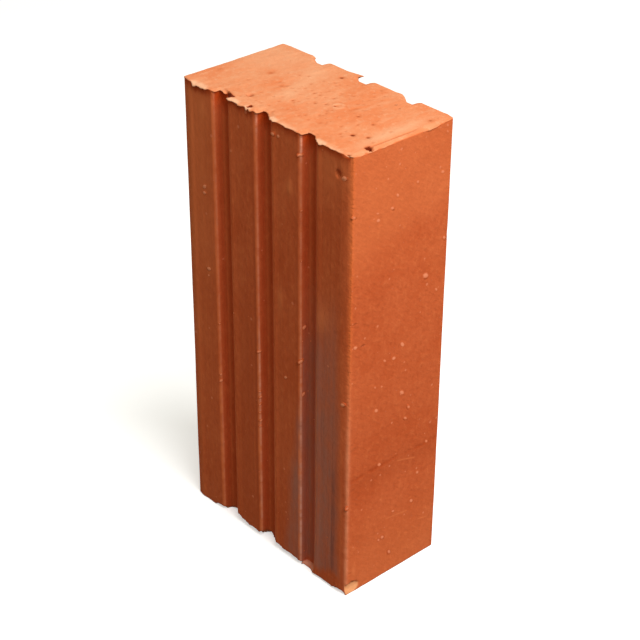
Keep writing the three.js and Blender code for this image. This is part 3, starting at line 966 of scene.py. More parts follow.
grains = moved[grain_row, grain_column][:, None, :] + np.stack([
    along[:, :1] * level + out[:, :1] * local[..., 2],
    along[:, 1:] * level + out[:, 1:] * local[..., 2],
    upright,
], axis=-1)
grain_faces = [
    [corner + len(ball) * number for corner in face]
    for number in range(len(grains)) for face in ball_faces
]
strength = np.clip(grain_size / CROWN_FULL, CROWN_LEAST, 1)
crown_height = np.outer(strength, np.clip(ball[:, 2], 0, 1))
grit = mesh_piece("grit", grains.reshape(-1, 3), grain_faces, {"crown": crown_height})
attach(grit, "root")
print(len(grains), "grains,", len(grain_faces), "faces")

# %% [markdown]
# ## Finishes
# Fired clay is matt, and its colour comes from iron: brick red where the die smoothed it, paler and
# more orange where it was torn. The finish is built from shader node groups, each of which turns a
# place on the brick into one colour or mask. All of them read Object coordinates, in metres, so the
# pattern stays put when the brick is copied or turned.


# %% Helpers for node trees
def add(tree, kind, inputs=(), **settings):
    """Add a node, set its settings, then link or fill the inputs named or numbered."""
    made = tree.nodes.new(kind)
    for name, value in settings.items():
        setattr(made, name, value)
    for name, value in dict(inputs).items():
        if isinstance(value, bpy.types.NodeSocket):
            tree.links.new(value, made.inputs[name])
        else:
            made.inputs[name].default_value = value
    return made


def maths(tree, operation, a, b=0.0, clamp=False):
    """One arithmetic step: a and b are sockets or numbers."""
    return add(tree, "ShaderNodeMath", {0: a, 1: b}, operation=operation, use_clamp=clamp).outputs[0]


def plus(tree, a, b):
    return maths(tree, "ADD", a, b)


def minus(tree, a, b):
    return maths(tree, "SUBTRACT", a, b)


def times(tree, *factors, clamp=False):
    """The product of all factors, sockets or numbers. A single one comes back as it is."""
    product = factors[0]
    for factor in factors[1:]:
        product = maths(tree, "MULTIPLY", product, factor, clamp)
    return product


def paint(tree, under, over, *shares, clamp=False):
    """Colour `under` goes over to colour `over` as the product of the shares goes from 0 to 1."""
    inputs = {0: times(tree, *shares, clamp=clamp), 6: under, 7: over}
    return add(tree, "ShaderNodeMix", inputs, data_type="RGBA").outputs[2]


def step_up(tree, value, start, end):
    """0 where value is below start, 1 above end, eased between. start may lie above end."""
    inputs = {0: value, 1: start, 2: end}
    return add(tree, "ShaderNodeMapRange", inputs, interpolation_type="SMOOTHSTEP").outputs[0]


def noise(tree, at, cell, detail=2.0, roughness=0.5):
    """Noise round 0.5, whose blobs are about `cell` metres across. The cell may be a socket."""
    scale = maths(tree, "DIVIDE", 1.0, cell) if isinstance(cell, bpy.types.NodeSocket) else 1 / cell
    inputs = {"Vector": at, "Scale": scale, "Detail": detail, "Roughness": roughness}
    return add(tree, "ShaderNodeTexNoise", inputs).outputs[0]


def apart(tree, at):
    """The x, y and z of a place, as three sockets."""
    return add(tree, "ShaderNodeSeparateXYZ", {0: at}).outputs


def stretched(tree, at, scale):
    """The place with each coordinate multiplied, so that a small factor draws a pattern out."""
    return add(tree, "ShaderNodeMapping", {"Vector": at, "Scale": scale}).outputs[0]


def slanted(tree, at, angle, stretch):
    """The place turned about X and drawn out, so that a pattern runs along a slanting line."""
    inputs = {"Vector": at, "Rotation": (angle, 0, 0), "Scale": (1, 1, stretch)}
    return add(tree, "ShaderNodeMapping", inputs, vector_type="TEXTURE").outputs[0]


def new_group(name, inputs, outputs):
    """An empty shader group: inputs are (label, kind, value), outputs are (label, kind)."""
    tree = bpy.data.node_groups.new(name, "ShaderNodeTree")
    for label, kind, value in inputs:
        socket = tree.interface.new_socket(label, in_out="INPUT", socket_type=f"NodeSocket{kind}")
        if value is not None:
            socket.default_value = value
    for label, kind in outputs:
        tree.interface.new_socket(label, in_out="OUTPUT", socket_type=f"NodeSocket{kind}")
    return tree, add(tree, "NodeGroupInput").outputs, add(tree, "NodeGroupOutput").inputs


def place_group(tree, group, inputs):
    """Use a group in a material, and return its outputs."""
    return add(tree, "ShaderNodeGroup", inputs, node_tree=group).outputs


def rgb(red, green, blue):
    return (red, green, blue, 1.0)


print("node helpers ready")

# %% Clay tone: two colours mixed in blotches of two sizes
LARGE_SHARE, SMALL_SHARE, TONE_EDGE = 0.6, 0.4, 0.16
SMALL_PER_LARGE = 5.0  # small blotches across a large one

clay_tone, given, result = new_group(
    "clay_tone",
    [("At", "Vector", None), ("Colour", "Color", rgb(0.7, 0.15, 0.05)),
     ("Other Colour", "Color", rgb(0.6, 0.12, 0.04)), ("Blotch", "Float", 0.03), ("Balance", "Float", 0.5)],
    [("Colour", "Color")],
)
tree, at = clay_tone, given["At"]
large = noise(tree, at, given["Blotch"], 1.0)
small_scale = times(tree, maths(tree, "DIVIDE", 1.0, given["Blotch"]), SMALL_PER_LARGE)
small_inputs = {"Vector": at, "Scale": small_scale, "Detail": 4.0, "Roughness": 0.6}
small = add(tree, "ShaderNodeTexNoise", small_inputs).outputs[0]
mixed = plus(tree, times(tree, large, LARGE_SHARE), times(tree, small, SMALL_SHARE))
low_end = minus(tree, given["Balance"], TONE_EDGE)
high_end = plus(tree, given["Balance"], TONE_EDGE)
share = step_up(tree, mixed, low_end, high_end)
tree.links.new(paint(tree, given["Colour"], given["Other Colour"], share), result["Colour"])
print("group", tree.name, len(tree.nodes), "nodes")

# %% Die lines: fine streaks drawn out along the length, in patches
# An edge is a pair of values: a mask is 0 where its noise is at the first, and 1 at the second.
LINES_DRAWN_OUT, LINE_EDGE = 0.012, (0.42, 0.68)
LINE_PATCH_SIZE, LINE_PATCH_EDGE = 0.03, (0.35, 0.65)

die_lines, given, result = new_group(
    "die_lines",
    [("At", "Vector", None), ("Line Width", "Float", 0.0011)],
    [("Mask", "Float"), ("Height", "Float")],
)
tree, at = die_lines, given["At"]
lines = noise(tree, stretched(tree, at, (1, 1, LINES_DRAWN_OUT)), given["Line Width"], 3.0, 0.6)
patches = step_up(tree, noise(tree, at, LINE_PATCH_SIZE), *LINE_PATCH_EDGE)
tree.links.new(times(tree, step_up(tree, lines, *LINE_EDGE), patches), result["Mask"])
tree.links.new(lines, result["Height"])
print("group", tree.name, len(tree.nodes), "nodes")

# %% Specks: dots of one size, strewn at random and kept in a share of their cells
SMALLEST_SPECK, SPECK_CORE = 0.35, 0.55  # over the size, and over a speck's own radius

specks, given, result = new_group(
    "specks",
    [("At", "Vector", None), ("Spacing", "Float", 0.006), ("Size", "Float", 0.0006), ("Share", "Float", 0.5)],
    [("Mask", "Float")],
)
tree = specks
scale = maths(tree, "DIVIDE", 1.0, given["Spacing"])
cells = add(tree, "ShaderNodeTexVoronoi", {"Vector": given["At"], "Scale": scale}).outputs
from_middle = times(tree, cells["Distance"], given["Spacing"])
draw = add(tree, "ShaderNodeSeparateColor", {"Color": cells["Color"]}).outputs
radius = times(tree, given["Size"], plus(tree, draw[1], SMALLEST_SPECK))
dot = step_up(tree, from_middle, radius, times(tree, radius, SPECK_CORE))
kept = maths(tree, "LESS_THAN", draw[0], given["Share"])
tree.links.new(times(tree, dot, kept), result["Mask"])
print("group", tree.name, len(tree.nodes), "nodes")

# %% Pale zone: the upper part of the right stretcher took less fire, up from a slanting line
PALE_FROM, PALE_SLANT, PALE_EDGE = 0.2075, 0.25, 0.009
PALE_WAVER, PALE_WAVER_SIZE = 0.012, 0.014
RIGHT_FROM, RIGHT_FULL = 0.0565, 0.0590  # where, along x, the stretcher's own finish comes up

pale_zone, given, result = new_group(
    "pale_zone", [("At", "Vector", None)], [("Mask", "Float"), ("Right", "Float")]
)
tree, at = pale_zone, given["At"]
x, y, z = apart(tree, at)
slant = minus(tree, z, times(tree, y, PALE_SLANT))
slant = plus(tree, slant, times(tree, noise(tree, at, PALE_WAVER_SIZE, 3.0), PALE_WAVER))
upper = step_up(tree, slant, PALE_FROM - PALE_EDGE, PALE_FROM + PALE_EDGE)
on_right = step_up(tree, x, RIGHT_FROM, RIGHT_FULL)
tree.links.new(times(tree, upper, on_right), result["Mask"])
tree.links.new(on_right, result["Right"])
print("group", tree.name, len(tree.nodes), "nodes")

# %% Scratch: a thin straight line over the stretcher, rising by its slope
SCRATCH_FADE = 0.002  # over which each end of a scratch fades

scratch, given, result = new_group(
    "scratch",
    [("At", "Vector", None), ("From", "Float", 0.0), ("To", "Float", 0.01), ("Height", "Float", 0.05),
     ("Slope", "Float", 0.0), ("Half Width", "Float", 0.0005)],
    [("Mask", "Float")],
)
tree = scratch
x, y, z = apart(tree, given["At"])
rising = times(tree, minus(tree, y, given["From"]), given["Slope"])
off_line = minus(tree, z, plus(tree, rising, given["Height"]))
on_line = step_up(tree, maths(tree, "ABSOLUTE", off_line), given["Half Width"], 0.0)
begun = step_up(tree, y, given["From"], plus(tree, given["From"], SCRATCH_FADE))
ended = step_up(tree, y, given["To"], minus(tree, given["To"], SCRATCH_FADE))
tree.links.new(times(tree, on_line, begun, ended), result["Mask"])
print("group", tree.name, len(tree.nodes), "nodes")

# %% [markdown]
# A film of soot and kiln dust lies on the front bed, right of the middle. It is a tall patch, wide
# at the foot and thinning out upwards. Its left edge stands upright at first and leans right higher
# up, and its right edge leans left all the way. Its mask is a product: one step for each of its four
# edges, one that keeps it on the bed, and a veil of noise that makes it thicker in places.

# %% Soot patch on the front bed
SOOT_LEFT, SOOT_BEND, SOOT_LEFT_LEAN = 0.0165, 0.050, 0.19  # metres from the middle, height, lean
LESS_LEAN_IN_GROOVE = 0.13
SOOT_RIGHT, SOOT_RIGHT_LEAN = 0.0552, -0.016
SOOT_EDGE = -0.003, 0.004  # from where to where, across an edge, the film comes up
SOOT_FROM, SOOT_FULL = 0.003, 0.012
SOOT_FADES, SOOT_GONE = 0.110, 0.190
NEAR_BED, INTO_GROOVE = (-0.024, -0.0265), (-0.0315, -0.0300)  # steps along y
SOOT_WAVER_ACROSS, SOOT_WAVER_UP, SOOT_WAVER_SIZE = 0.010, 0.03, 0.012
SOOT_THINNEST, VEIL_SHARE, CLOUD_SHARE = 0.36, 0.28, 0.5
VEIL_SIZE, CLOUD_SIZE, VEIL_EDGE = 0.0028, 0.0085, (0.3, 0.7)

soot_patch, given, result = new_group("soot_patch", [("At", "Vector", None)], [("Mask", "Float")])
tree, at = soot_patch, given["At"]
x, y, z = apart(tree, at)
waver = minus(tree, noise(tree, stretched(tree, at, (1, 1, 0.35)), SOOT_WAVER_SIZE, 3.0), 0.5)
above_bend = maths(tree, "MAXIMUM", minus(tree, z, SOOT_BEND), 0.0)
in_groove = step_up(tree, y, *INTO_GROOVE)
lean = minus(tree, SOOT_LEFT_LEAN, times(tree, in_groove, LESS_LEAN_IN_GROOVE))
left_edge = plus(tree, SOOT_LEFT, times(tree, above_bend, lean))
right_edge = plus(tree, SOOT_RIGHT, times(tree, z, SOOT_RIGHT_LEAN))
strayed_x = plus(tree, x, times(tree, waver, SOOT_WAVER_ACROSS))
strayed_z = plus(tree, z, times(tree, waver, SOOT_WAVER_UP))
from_left = step_up(tree, minus(tree, strayed_x, left_edge), *SOOT_EDGE)
to_right = step_up(tree, minus(tree, right_edge, strayed_x), *SOOT_EDGE)
from_foot = step_up(tree, strayed_z, SOOT_FROM, SOOT_FULL)
to_top = step_up(tree, strayed_z, SOOT_GONE, SOOT_FADES)
on_bed = step_up(tree, y, *NEAR_BED)
veil = noise(tree, stretched(tree, at, (1, 1, 0.04)), VEIL_SIZE, 3.0, 0.6)
veil = step_up(tree, veil, *VEIL_EDGE)
cloud = noise(tree, stretched(tree, at, (1, 1, 0.45)), CLOUD_SIZE, 4.0, 0.65)
cloud = step_up(tree, cloud, *VEIL_EDGE)
thickness = plus(tree, times(tree, veil, VEIL_SHARE), SOOT_THINNEST)
thickness = plus(tree, thickness, times(tree, cloud, CLOUD_SHARE))
film = times(tree, from_left, to_right, from_foot, to_top, on_bed, thickness)
tree.links.new(film, result["Mask"])
print("group", tree.name, len(tree.nodes), "nodes")

# %% [markdown]
# ## The fired clay
# The colours are those of the clay itself, with some shade and light painted in: shade in the roots of
# the grooves, under the torn rim, in pits, slits and fine hollows, and light on groove floors, burrs,
# the ledge and a few blotches. From the bottom up: the drawn skin with its blotches and die lines, the
# marks of the right stretcher, the soot, painted shade in the groove roots and paler worn crests, then
# the torn ends over everything, with pits and drag marks of their own, and last fresh breaks. Painting
# in that order, each layer over the last, is easier to follow than one large sum of masks.

# %% Colours of the clay (linear)
SKIN = rgb(0.715, 0.142, 0.043)
SKIN_DEEP = rgb(0.64, 0.110, 0.029)
SKIN_PALE = rgb(0.895, 0.225, 0.072)
SKIN_BRIGHT = rgb(0.98, 0.205, 0.048)
SKIN_DEEPEST = rgb(0.50, 0.085, 0.022)
SKIN_DARK = rgb(0.48, 0.055, 0.006)
CUT_END = rgb(0.80, 0.290, 0.130)
CUT_END_DEEP = rgb(0.77, 0.225, 0.085)
CUT_END_PALE = rgb(0.84, 0.400, 0.215)
PIT_WALL_SHADE = rgb(0.56, 0.120, 0.030)
PIT_FLOOR_SHADOW = rgb(0.17, 0.018, 0.002)
CUT_SMEAR = rgb(0.92, 0.500, 0.300)
FRESH_BREAK = rgb(0.99, 0.430, 0.190)
SOOT = rgb(0.46, 0.165, 0.110)
SOOT_STREAK = rgb(0.26, 0.070, 0.045)
RUBBED = rgb(0.98, 0.315, 0.155)
BURR_AND_HIGHLIGHT = rgb(0.95, 0.430, 0.280)
SOOTY_BURR_AND_HIGHLIGHT = rgb(0.95, 0.500, 0.400)
GRAIN = rgb(1.0, 0.320, 0.160)
BED_GRAIN = rgb(1.0, 0.330, 0.160)

SKIN_TONE = {"Colour": SKIN, "Other Colour": SKIN_DEEP, "Blotch": 0.035}
END_TONE = {"Colour": CUT_END, "Other Colour": CUT_END_DEEP, "Blotch": 0.02}
PALE_SHARE = 0.42  # of the pale colour in the pale zone


def new_material(name):
    """A material with no node but its texture coordinates, and the place on the brick as a socket."""
    material = bpy.data.materials.new(name)
    material.use_nodes = True
    material.node_tree.nodes.clear()
    return material, material.node_tree, add(material.node_tree, "ShaderNodeTexCoord").outputs["Object"]


def attribute(tree, name):
    return add(tree, "ShaderNodeAttribute", attribute_name=name).outputs["Fac"]


def toned(tree, colour, pale_colour, deep_colour):
    """A colour that turns pale where `tone` is above 0, and deep where it is below."""
    tone = attribute(tree, "tone")
    colour = paint(tree, colour, pale_colour, maths(tree, "MAXIMUM", tone, 0.0))
    return paint(tree, colour, deep_colour, maths(tree, "MAXIMUM", times(tree, tone, -1.0), 0.0))


def finish_shader(tree, colour, roughness, height, bump, specular):
    """A matt shader whose relief comes from `height`, over a bump distance in metres."""
    relief = add(tree, "ShaderNodeBump", {"Strength": 1.0, "Distance": bump, "Height": height}).outputs[0]
    inputs = {"Base Color": colour, "Roughness": roughness, "Normal": relief, "Specular IOR Level": specular}
    shader = add(tree, "ShaderNodeBsdfPrincipled", inputs).outputs[0]
    add(tree, "ShaderNodeOutputMaterial", {"Surface": shader})


print("skin", SKIN[:3], "cut end", CUT_END[:3])

# %% The drawn skin: blotches, die lines and mottling
STREAK_SHARE, LESS_ON_STRETCHER = 0.20, 0.16
MOTTLE_SIZE, PALE_MOTTLE, DEEP_MOTTLE = 0.0022, (0.52, 0.72), (0.48, 0.28)
PALE_MOTTLE_SHARE, DEEP_MOTTLE_SHARE = 0.30, 0.35

fired_clay, tree, at = new_material("fired_clay")
where = apart(tree, at)
pale = place_group(tree, pale_zone, {"At": at})
streaks = place_group(tree, die_lines, {"At": at})
mottle = noise(tree, stretched(tree, at, (1, 1, 0.6)), MOTTLE_SIZE, 3.0, 0.6)

skin = place_group(tree, clay_tone, {"At": at, **SKIN_TONE})[0]
streak_share = plus(tree, times(tree, pale["Right"], -LESS_ON_STRETCHER), STREAK_SHARE)
skin = paint(tree, skin, SKIN_PALE, streaks["Mask"], streak_share)
skin = paint(tree, skin, SKIN_PALE, step_up(tree, mottle, *PALE_MOTTLE), PALE_MOTTLE_SHARE)
skin = paint(tree, skin, SKIN_DEEPEST, step_up(tree, mottle, *DEEP_MOTTLE), DEEP_MOTTLE_SHARE)
print("drawn skin:", len(tree.nodes), "nodes")

# %% [markdown]
# The right stretcher has marks of its own. Its mottling runs on a slant and its upper part is paler.
# Beside the near arris it is dented, where the green brick was pushed along a board: from the arris
# to a third of the way over, most of all between 120 and 235 mm up, and a little everywhere. A
# hairline crack runs right across, about a quarter of the way up, and there are three scratches.
# Cut into the mesh, such fine marks would need far more points. So they are masks, which darken or
# lighten the skin here, and the same masks raise or sink it in the relief at the end. The darkening
# of the dents and the crack is painted shade in hollows too small for the mesh.

# %% The right stretcher: a slanting grain, the pale zone, dents, a crack and scratches
SLANT, SLANT_STRETCH, SLANT_SIZE, SLANT_SHARE = 0.9, 2.6, 0.0017, 0.25  # radians, times, metres
PALE_SLANTING, DEEP_SLANTING = (0.56, 0.72), (0.46, 0.30)
DENT = {"Spacing": 0.0038, "Size": 0.0015, "Share": 0.5}
DENTS_FROM, DENTS_TO = (0.12, 0.155), (0.235, 0.20)  # steps along z
DENTS_INWARD, DENTS_OFF_ARRIS = (-0.014, -0.024), (-0.0315, -0.0295)  # steps along y
DENTS_LOWER_DOWN, DENTS_EVERYWHERE, DENT_SHADE = 0.3, 0.22, 0.25
CRACK_HEIGHT, CRACK_HALF_WIDTH, CRACK_SHADE = 0.0718, 0.0019, 0.42
CRACK_WAVER, CRACK_WAVER_SIZE = 0.005, 0.016
CRACK_GAP_SIZE, CRACK_GAP_EDGE = 0.008, (0.25, 0.55)
SCRATCHES = [  # from, to, height, slope
    (-0.0053, 0.0124, 0.0363, -0.15), (0.0186, 0.0274, 0.0242, -0.26), (0.0017, 0.0165, 0.0700, -0.31),
]
SCRATCH_HALF_WIDTH, SCRATCH_SHARE = 0.0009, 0.5

slanting = noise(tree, slanted(tree, at, SLANT, SLANT_STRETCH), SLANT_SIZE, 3.0, 0.6)
for tint, edge in ((SKIN_DEEPEST, DEEP_SLANTING), (SKIN_PALE, PALE_SLANTING)):
    skin = paint(tree, skin, tint, step_up(tree, slanting, *edge), pale["Right"], SLANT_SHARE)
skin = paint(tree, skin, SKIN_PALE, pale["Mask"], PALE_SHARE)

dented = place_group(tree, specks, {"At": stretched(tree, at, (1, 0.7, 1.2)), **DENT})[0]
above = times(tree, step_up(tree, where[2], *DENTS_FROM), 1 - DENTS_LOWER_DOWN)
above = plus(tree, above, DENTS_LOWER_DOWN)
below = step_up(tree, where[2], *DENTS_TO)
by_arris = step_up(tree, where[1], *DENTS_INWARD)
by_arris = times(tree, by_arris, step_up(tree, where[1], *DENTS_OFF_ARRIS))
dents = plus(tree, times(tree, above, below, by_arris), DENTS_EVERYWHERE)
dents = times(tree, dented, dents, pale["Right"])
# Painted shade in the dents.
skin = paint(tree, skin, SKIN_DEEPEST, dents, DENT_SHADE)
skin = toned(tree, skin, SKIN_PALE, SKIN_DEEPEST)

wandering = times(tree, minus(tree, noise(tree, at, CRACK_WAVER_SIZE, 3.0), 0.5), CRACK_WAVER)
from_crack = minus(tree, plus(tree, where[2], wandering), CRACK_HEIGHT)
crack = step_up(tree, maths(tree, "ABSOLUTE", from_crack), CRACK_HALF_WIDTH, 0.0)
crack_gaps = step_up(tree, noise(tree, at, CRACK_GAP_SIZE), *CRACK_GAP_EDGE)
crack = times(tree, crack, pale["Right"], crack_gaps)
# Painted shade in the crack.
skin = paint(tree, skin, SKIN_DARK, crack, CRACK_SHADE)
for start, end, up_at, slope in SCRATCHES:
    line = {"From": start, "To": end, "Height": up_at, "Slope": slope, "Half Width": SCRATCH_HALF_WIDTH}
    mark = place_group(tree, scratch, {"At": at, **line})[0]
    skin = paint(tree, skin, SKIN_PALE, mark, pale["Right"], SCRATCH_SHARE)
print("with the stretcher's marks:", len(tree.nodes), "nodes")

# %% Soot on the front bed, with fine dark lines and one broader streak where it has been wiped
SOOT_SHARE, WIPED_SHARE, WIPED_STREAK_SHARE = 0.85, 0.4, 0.7
WIPED_SIZE, WIPED_EDGE = 0.0016, (0.56, 0.72)
STREAK_AT, STREAK_EDGE, STREAK_CORE, STREAK_TOP = 0.0508, 0.0022, 0.0006, (0.085, 0.060)

soot = place_group(tree, soot_patch, {"At": at})[0]
skin = paint(tree, skin, SOOT, soot, SOOT_SHARE)
wiped = noise(tree, stretched(tree, at, (1, 1, 0.02)), WIPED_SIZE, 2.0, 0.6)
skin = paint(tree, skin, SOOT_STREAK, step_up(tree, wiped, *WIPED_EDGE), soot, WIPED_SHARE)
from_streak = maths(tree, "ABSOLUTE", minus(tree, where[0], STREAK_AT))
streak = step_up(tree, from_streak, STREAK_EDGE, STREAK_CORE)
low_down = step_up(tree, where[2], *STREAK_TOP)
skin = paint(tree, skin, SOOT_STREAK, streak, low_down, soot, WIPED_STREAK_SHARE)
print("with soot:", len(tree.nodes), "nodes")

# %% [markdown]
# Edges wear first. The crests of arrises and lips are paler in patches, and the near arris is rubbed
# where hands and trowels have been. The roots of the grooves and the band under the torn rim are
# darkened with painted shade, and a burr shows as a pale, broken line, partly paler clay and partly a
# painted highlight. The mesh knows where all of these are, so its attributes are the masks, and
# noise only breaks them up. An edge found by the shader itself would be as even as a ruled line.

# %% Painted shade in the roots and under the rim, worn crests, the rubbed arris, burrs and dust
ROOT_SHADE = 0.42
WORN_PATCH_SIZE, WORN_PATCH_EDGE = 0.006, (0.2, 0.75)
WORN_SHARE, WORN_MORE_BELOW, WORN_STEP = 0.5, 0.3, (0.17, 0.06)
RUB_PATCH_SIZE, RUB_PATCH_EDGE, RUB_PALER_BELOW = 0.005, (0.3, 0.7), (0.16, 0.07)
RUB_SHARE, RUB_PATCH_SHARE = 0.5, 0.45
NICK_SIZE, NICK_EDGE, NICKS_FROM, NICK_SHADE = 0.0017, (0.50, 0.70), (0.08, 0.14), 0.22
BURR_PATCH_SIZE, BURR_PATCH_EDGE, BURR_THINNEST = 0.0035, (0.30, 0.62), 0.25
DUST, DUST_SHARE = {"Spacing": 0.0065, "Size": 0.0008, "Share": 0.35}, 0.5

# Painted shade in the roots of the grooves and under the torn rim.
skin = paint(tree, skin, SKIN_DARK, attribute(tree, "deep"), ROOT_SHADE, clamp=True)
worn = step_up(tree, noise(tree, at, WORN_PATCH_SIZE, 3.0), *WORN_PATCH_EDGE)
worn = times(tree, attribute(tree, "worn"), worn)
worn_share = plus(tree, times(tree, step_up(tree, where[2], *WORN_STEP), WORN_MORE_BELOW), WORN_SHARE)
skin = paint(tree, skin, SKIN_PALE, worn, worn_share)

rubbed = attribute(tree, "rubbed")
patchy = step_up(tree, noise(tree, at, RUB_PATCH_SIZE, 3.0), *RUB_PATCH_EDGE)
arris_colour = paint(tree, SKIN_BRIGHT, RUBBED, step_up(tree, where[2], *RUB_PALER_BELOW))
rub_share = plus(tree, times(tree, patchy, RUB_PATCH_SHARE), RUB_SHARE)
skin = paint(tree, skin, arris_colour, rubbed, rub_share)
nicks = noise(tree, stretched(tree, at, (1, 1, 1.5)), NICK_SIZE, 2.0, 0.6)
nicks = times(tree, step_up(tree, nicks, *NICK_EDGE), rubbed, step_up(tree, where[2], *NICKS_FROM))
# Painted shade in the nicks of the rubbed arris.
skin = paint(tree, skin, SKIN_DEEPEST, nicks, NICK_SHADE)

broken_line = noise(tree, stretched(tree, at, (0.3, 0.3, 1)), BURR_PATCH_SIZE, 3.0, 0.6)
broken_line = times(tree, step_up(tree, broken_line, *BURR_PATCH_EDGE), 1 - BURR_THINNEST)
broken_line = plus(tree, broken_line, BURR_THINNEST)
# A pale line on the burrs, partly paler clay and partly a painted highlight.
burr_and_highlight = paint(tree, BURR_AND_HIGHLIGHT, SOOTY_BURR_AND_HIGHLIGHT, soot)
skin = paint(tree, skin, burr_and_highlight, attribute(tree, "burr"), broken_line, clamp=True)
dust = place_group(tree, specks, {"At": at, **DUST})[0]
skin = paint(tree, skin, GRAIN, dust, DUST_SHARE)
print("with worn edges:", len(tree.nodes), "nodes")

# %% [markdown]
# The die never smoothed the ends. They fired paler and more orange, and the wire left crumbs, drag
# marks and pits; the pits' dark sides and floors are painted shade. The ends could have a material of
# their own, but the torn rim hangs down over the sides and has no sharp border. So one material goes
# over to the end's colours where the attribute `cut` says so.

# %% The torn ends: mottled, smeared and pitted
SPECKLE_SIZE, PALE_SPECKLE, DEEP_SPECKLE, SPECKLE_SHARE = 0.0024, (0.52, 0.72), (0.50, 0.30), 0.5
DRAG_SIZE, DRAG_EDGE, DRAG_SHARE, SMEAR_SHARE = 0.005, (0.48, 0.75), 0.4, 0.85
SMALL_PIT, SMALL_PIT_SHADE = {"Spacing": 0.0045, "Size": 0.0009, "Share": 0.35}, 0.4
PIT_PATCH_SIZE, PIT_PATCH_EDGE = 0.018, (0.45, 0.62)
PIT_SHADE, PIT_BLACK = 0.8, (0.5, 1.5)  # by the mark of a pit

speckle = noise(tree, at, SPECKLE_SIZE, 3.0, 0.65)
drag = noise(tree, stretched(tree, at, (1, 0.3, 1)), DRAG_SIZE, 3.0)
pit_here = attribute(tree, "pit")
pits = place_group(tree, specks, {"At": at, **SMALL_PIT})[0]
pitted = times(tree, pits, step_up(tree, noise(tree, at, PIT_PATCH_SIZE), *PIT_PATCH_EDGE))

end = place_group(tree, clay_tone, {"At": at, **END_TONE})[0]
end = paint(tree, end, CUT_END_DEEP, step_up(tree, speckle, *DEEP_SPECKLE), SPECKLE_SHARE)
end = paint(tree, end, CUT_END_PALE, step_up(tree, speckle, *PALE_SPECKLE), SPECKLE_SHARE)
end = toned(tree, end, CUT_END_PALE, CUT_END_DEEP)
end = paint(tree, end, CUT_END_PALE, step_up(tree, drag, *DRAG_EDGE), DRAG_SHARE)
end = paint(tree, end, CUT_SMEAR, attribute(tree, "smeared"), SMEAR_SHARE)
# Painted shade in the small pits, and in the pits, crease and slits of the top end.
end = paint(tree, end, PIT_WALL_SHADE, pitted, SMALL_PIT_SHADE)
end = paint(tree, end, PIT_WALL_SHADE, pit_here, PIT_SHADE, clamp=True)
end = paint(tree, end, PIT_FLOOR_SHADOW, step_up(tree, pit_here, *PIT_BLACK))

cut = attribute(tree, "cut")
colour = paint(tree, skin, end, cut)
colour = paint(tree, colour, FRESH_BREAK, attribute(tree, "broken"))
print("with the ends:", len(tree.nodes), "nodes")

# %% Fine relief, and the shader
BUMP, GLOSS = 0.0002, 0.1  # a height of 1 is BUMP metres
FINE_SIZE, SANDY_SIZE, ROUGHNESS_EDGE = 0.0011, 0.0032, (-0.6, 0.9)
FINE_ON_SKIN, SANDY_HEIGHT, SMALL_PIT_DEPTH = 0.5, 1.2, 1.5

fine = noise(tree, at, FINE_SIZE, 4.0, 0.65)
sandy = noise(tree, at, SANDY_SIZE, 2.0)
drawn_bumps = [
    (streaks["Height"], 0.5), (mottle, 1.2), (slanting, pale["Right"]),
    (crack, -0.4), (dents, -0.9), (nicks, -0.8),
]
drawn_height = times(tree, fine, FINE_ON_SKIN)
for bump, bump_height in drawn_bumps:
    drawn_height = plus(tree, drawn_height, times(tree, bump, bump_height))
cut_height = plus(tree, fine, times(tree, sandy, SANDY_HEIGHT))
cut_height = minus(tree, cut_height, times(tree, pitted, SMALL_PIT_DEPTH))
relief_height = add(tree, "ShaderNodeMix", {0: cut, 2: drawn_height, 3: cut_height}).outputs[0]
roughness = step_up(tree, fine, *ROUGHNESS_EDGE)
finish_shader(tree, colour, roughness, relief_height, BUMP, GLOSS)
brick.data.materials.append(fired_clay)
print("material", fired_clay.name, len(tree.nodes), "nodes")

# %% [markdown]
# A grain shows through the skin over it, most of all at the crown of its mound. So the grains' finish
# is the skin's own, going over to a paler colour. On the stretcher that colour covers a mound from
# its crown down, and on the beds it reaches down to the mound's foot.

# %% The grains' material
REACH_ON_BED, LESS_ON_RIGHT, CROWN_EDGE = 2.4, 1.4, (0.0, 0.8)
GRAIN_ROUGHNESS, GRAIN_TEXTURE, GRAIN_BUMP, GRAIN_GLOSS = 0.85, 0.0006, 0.0001, 0.02

grain_clay, tree, at = new_material("grit_grain")
skin = place_group(tree, clay_tone, {"At": at, **SKIN_TONE})[0]
pale = place_group(tree, pale_zone, {"At": at})
skin = paint(tree, skin, SKIN_PALE, pale["Mask"], PALE_SHARE)
grain = paint(tree, BED_GRAIN, GRAIN, pale["Right"])
reach_down = minus(tree, REACH_ON_BED, times(tree, pale["Right"], LESS_ON_RIGHT))
crown = times(tree, attribute(tree, "crown"), reach_down)
colour = paint(tree, skin, grain, step_up(tree, crown, *CROWN_EDGE))
fine = noise(tree, at, GRAIN_TEXTURE, 3.0)
finish_shader(tree, colour, GRAIN_ROUGHNESS, fine, GRAIN_BUMP, GRAIN_GLOSS)
grit.data.materials.append(grain_clay)
print("material", grain_clay.name, len(tree.nodes), "nodes")

# %% [markdown]
# ## Studio
# A plain pale floor, one lamp high on the right and a little in front of the grooved bed, and weak
# light from all round. The lamp just grazes the grooves, so their lips shine and their steep walls
# stay in shade. The floor looks white to the camera and in mirrors alone: for other rays it is grey,
# so that it throws little light up into the grooves.

# %% Floor
FLOOR_HALF = 4.0
FLOOR_SEEN, FLOOR_FELT = rgb(0.95, 0.95, 0.95), rgb(0.16, 0.15, 0.14)
FLOOR_GLOW = 0.5
WHITE = rgb(1, 1, 1)

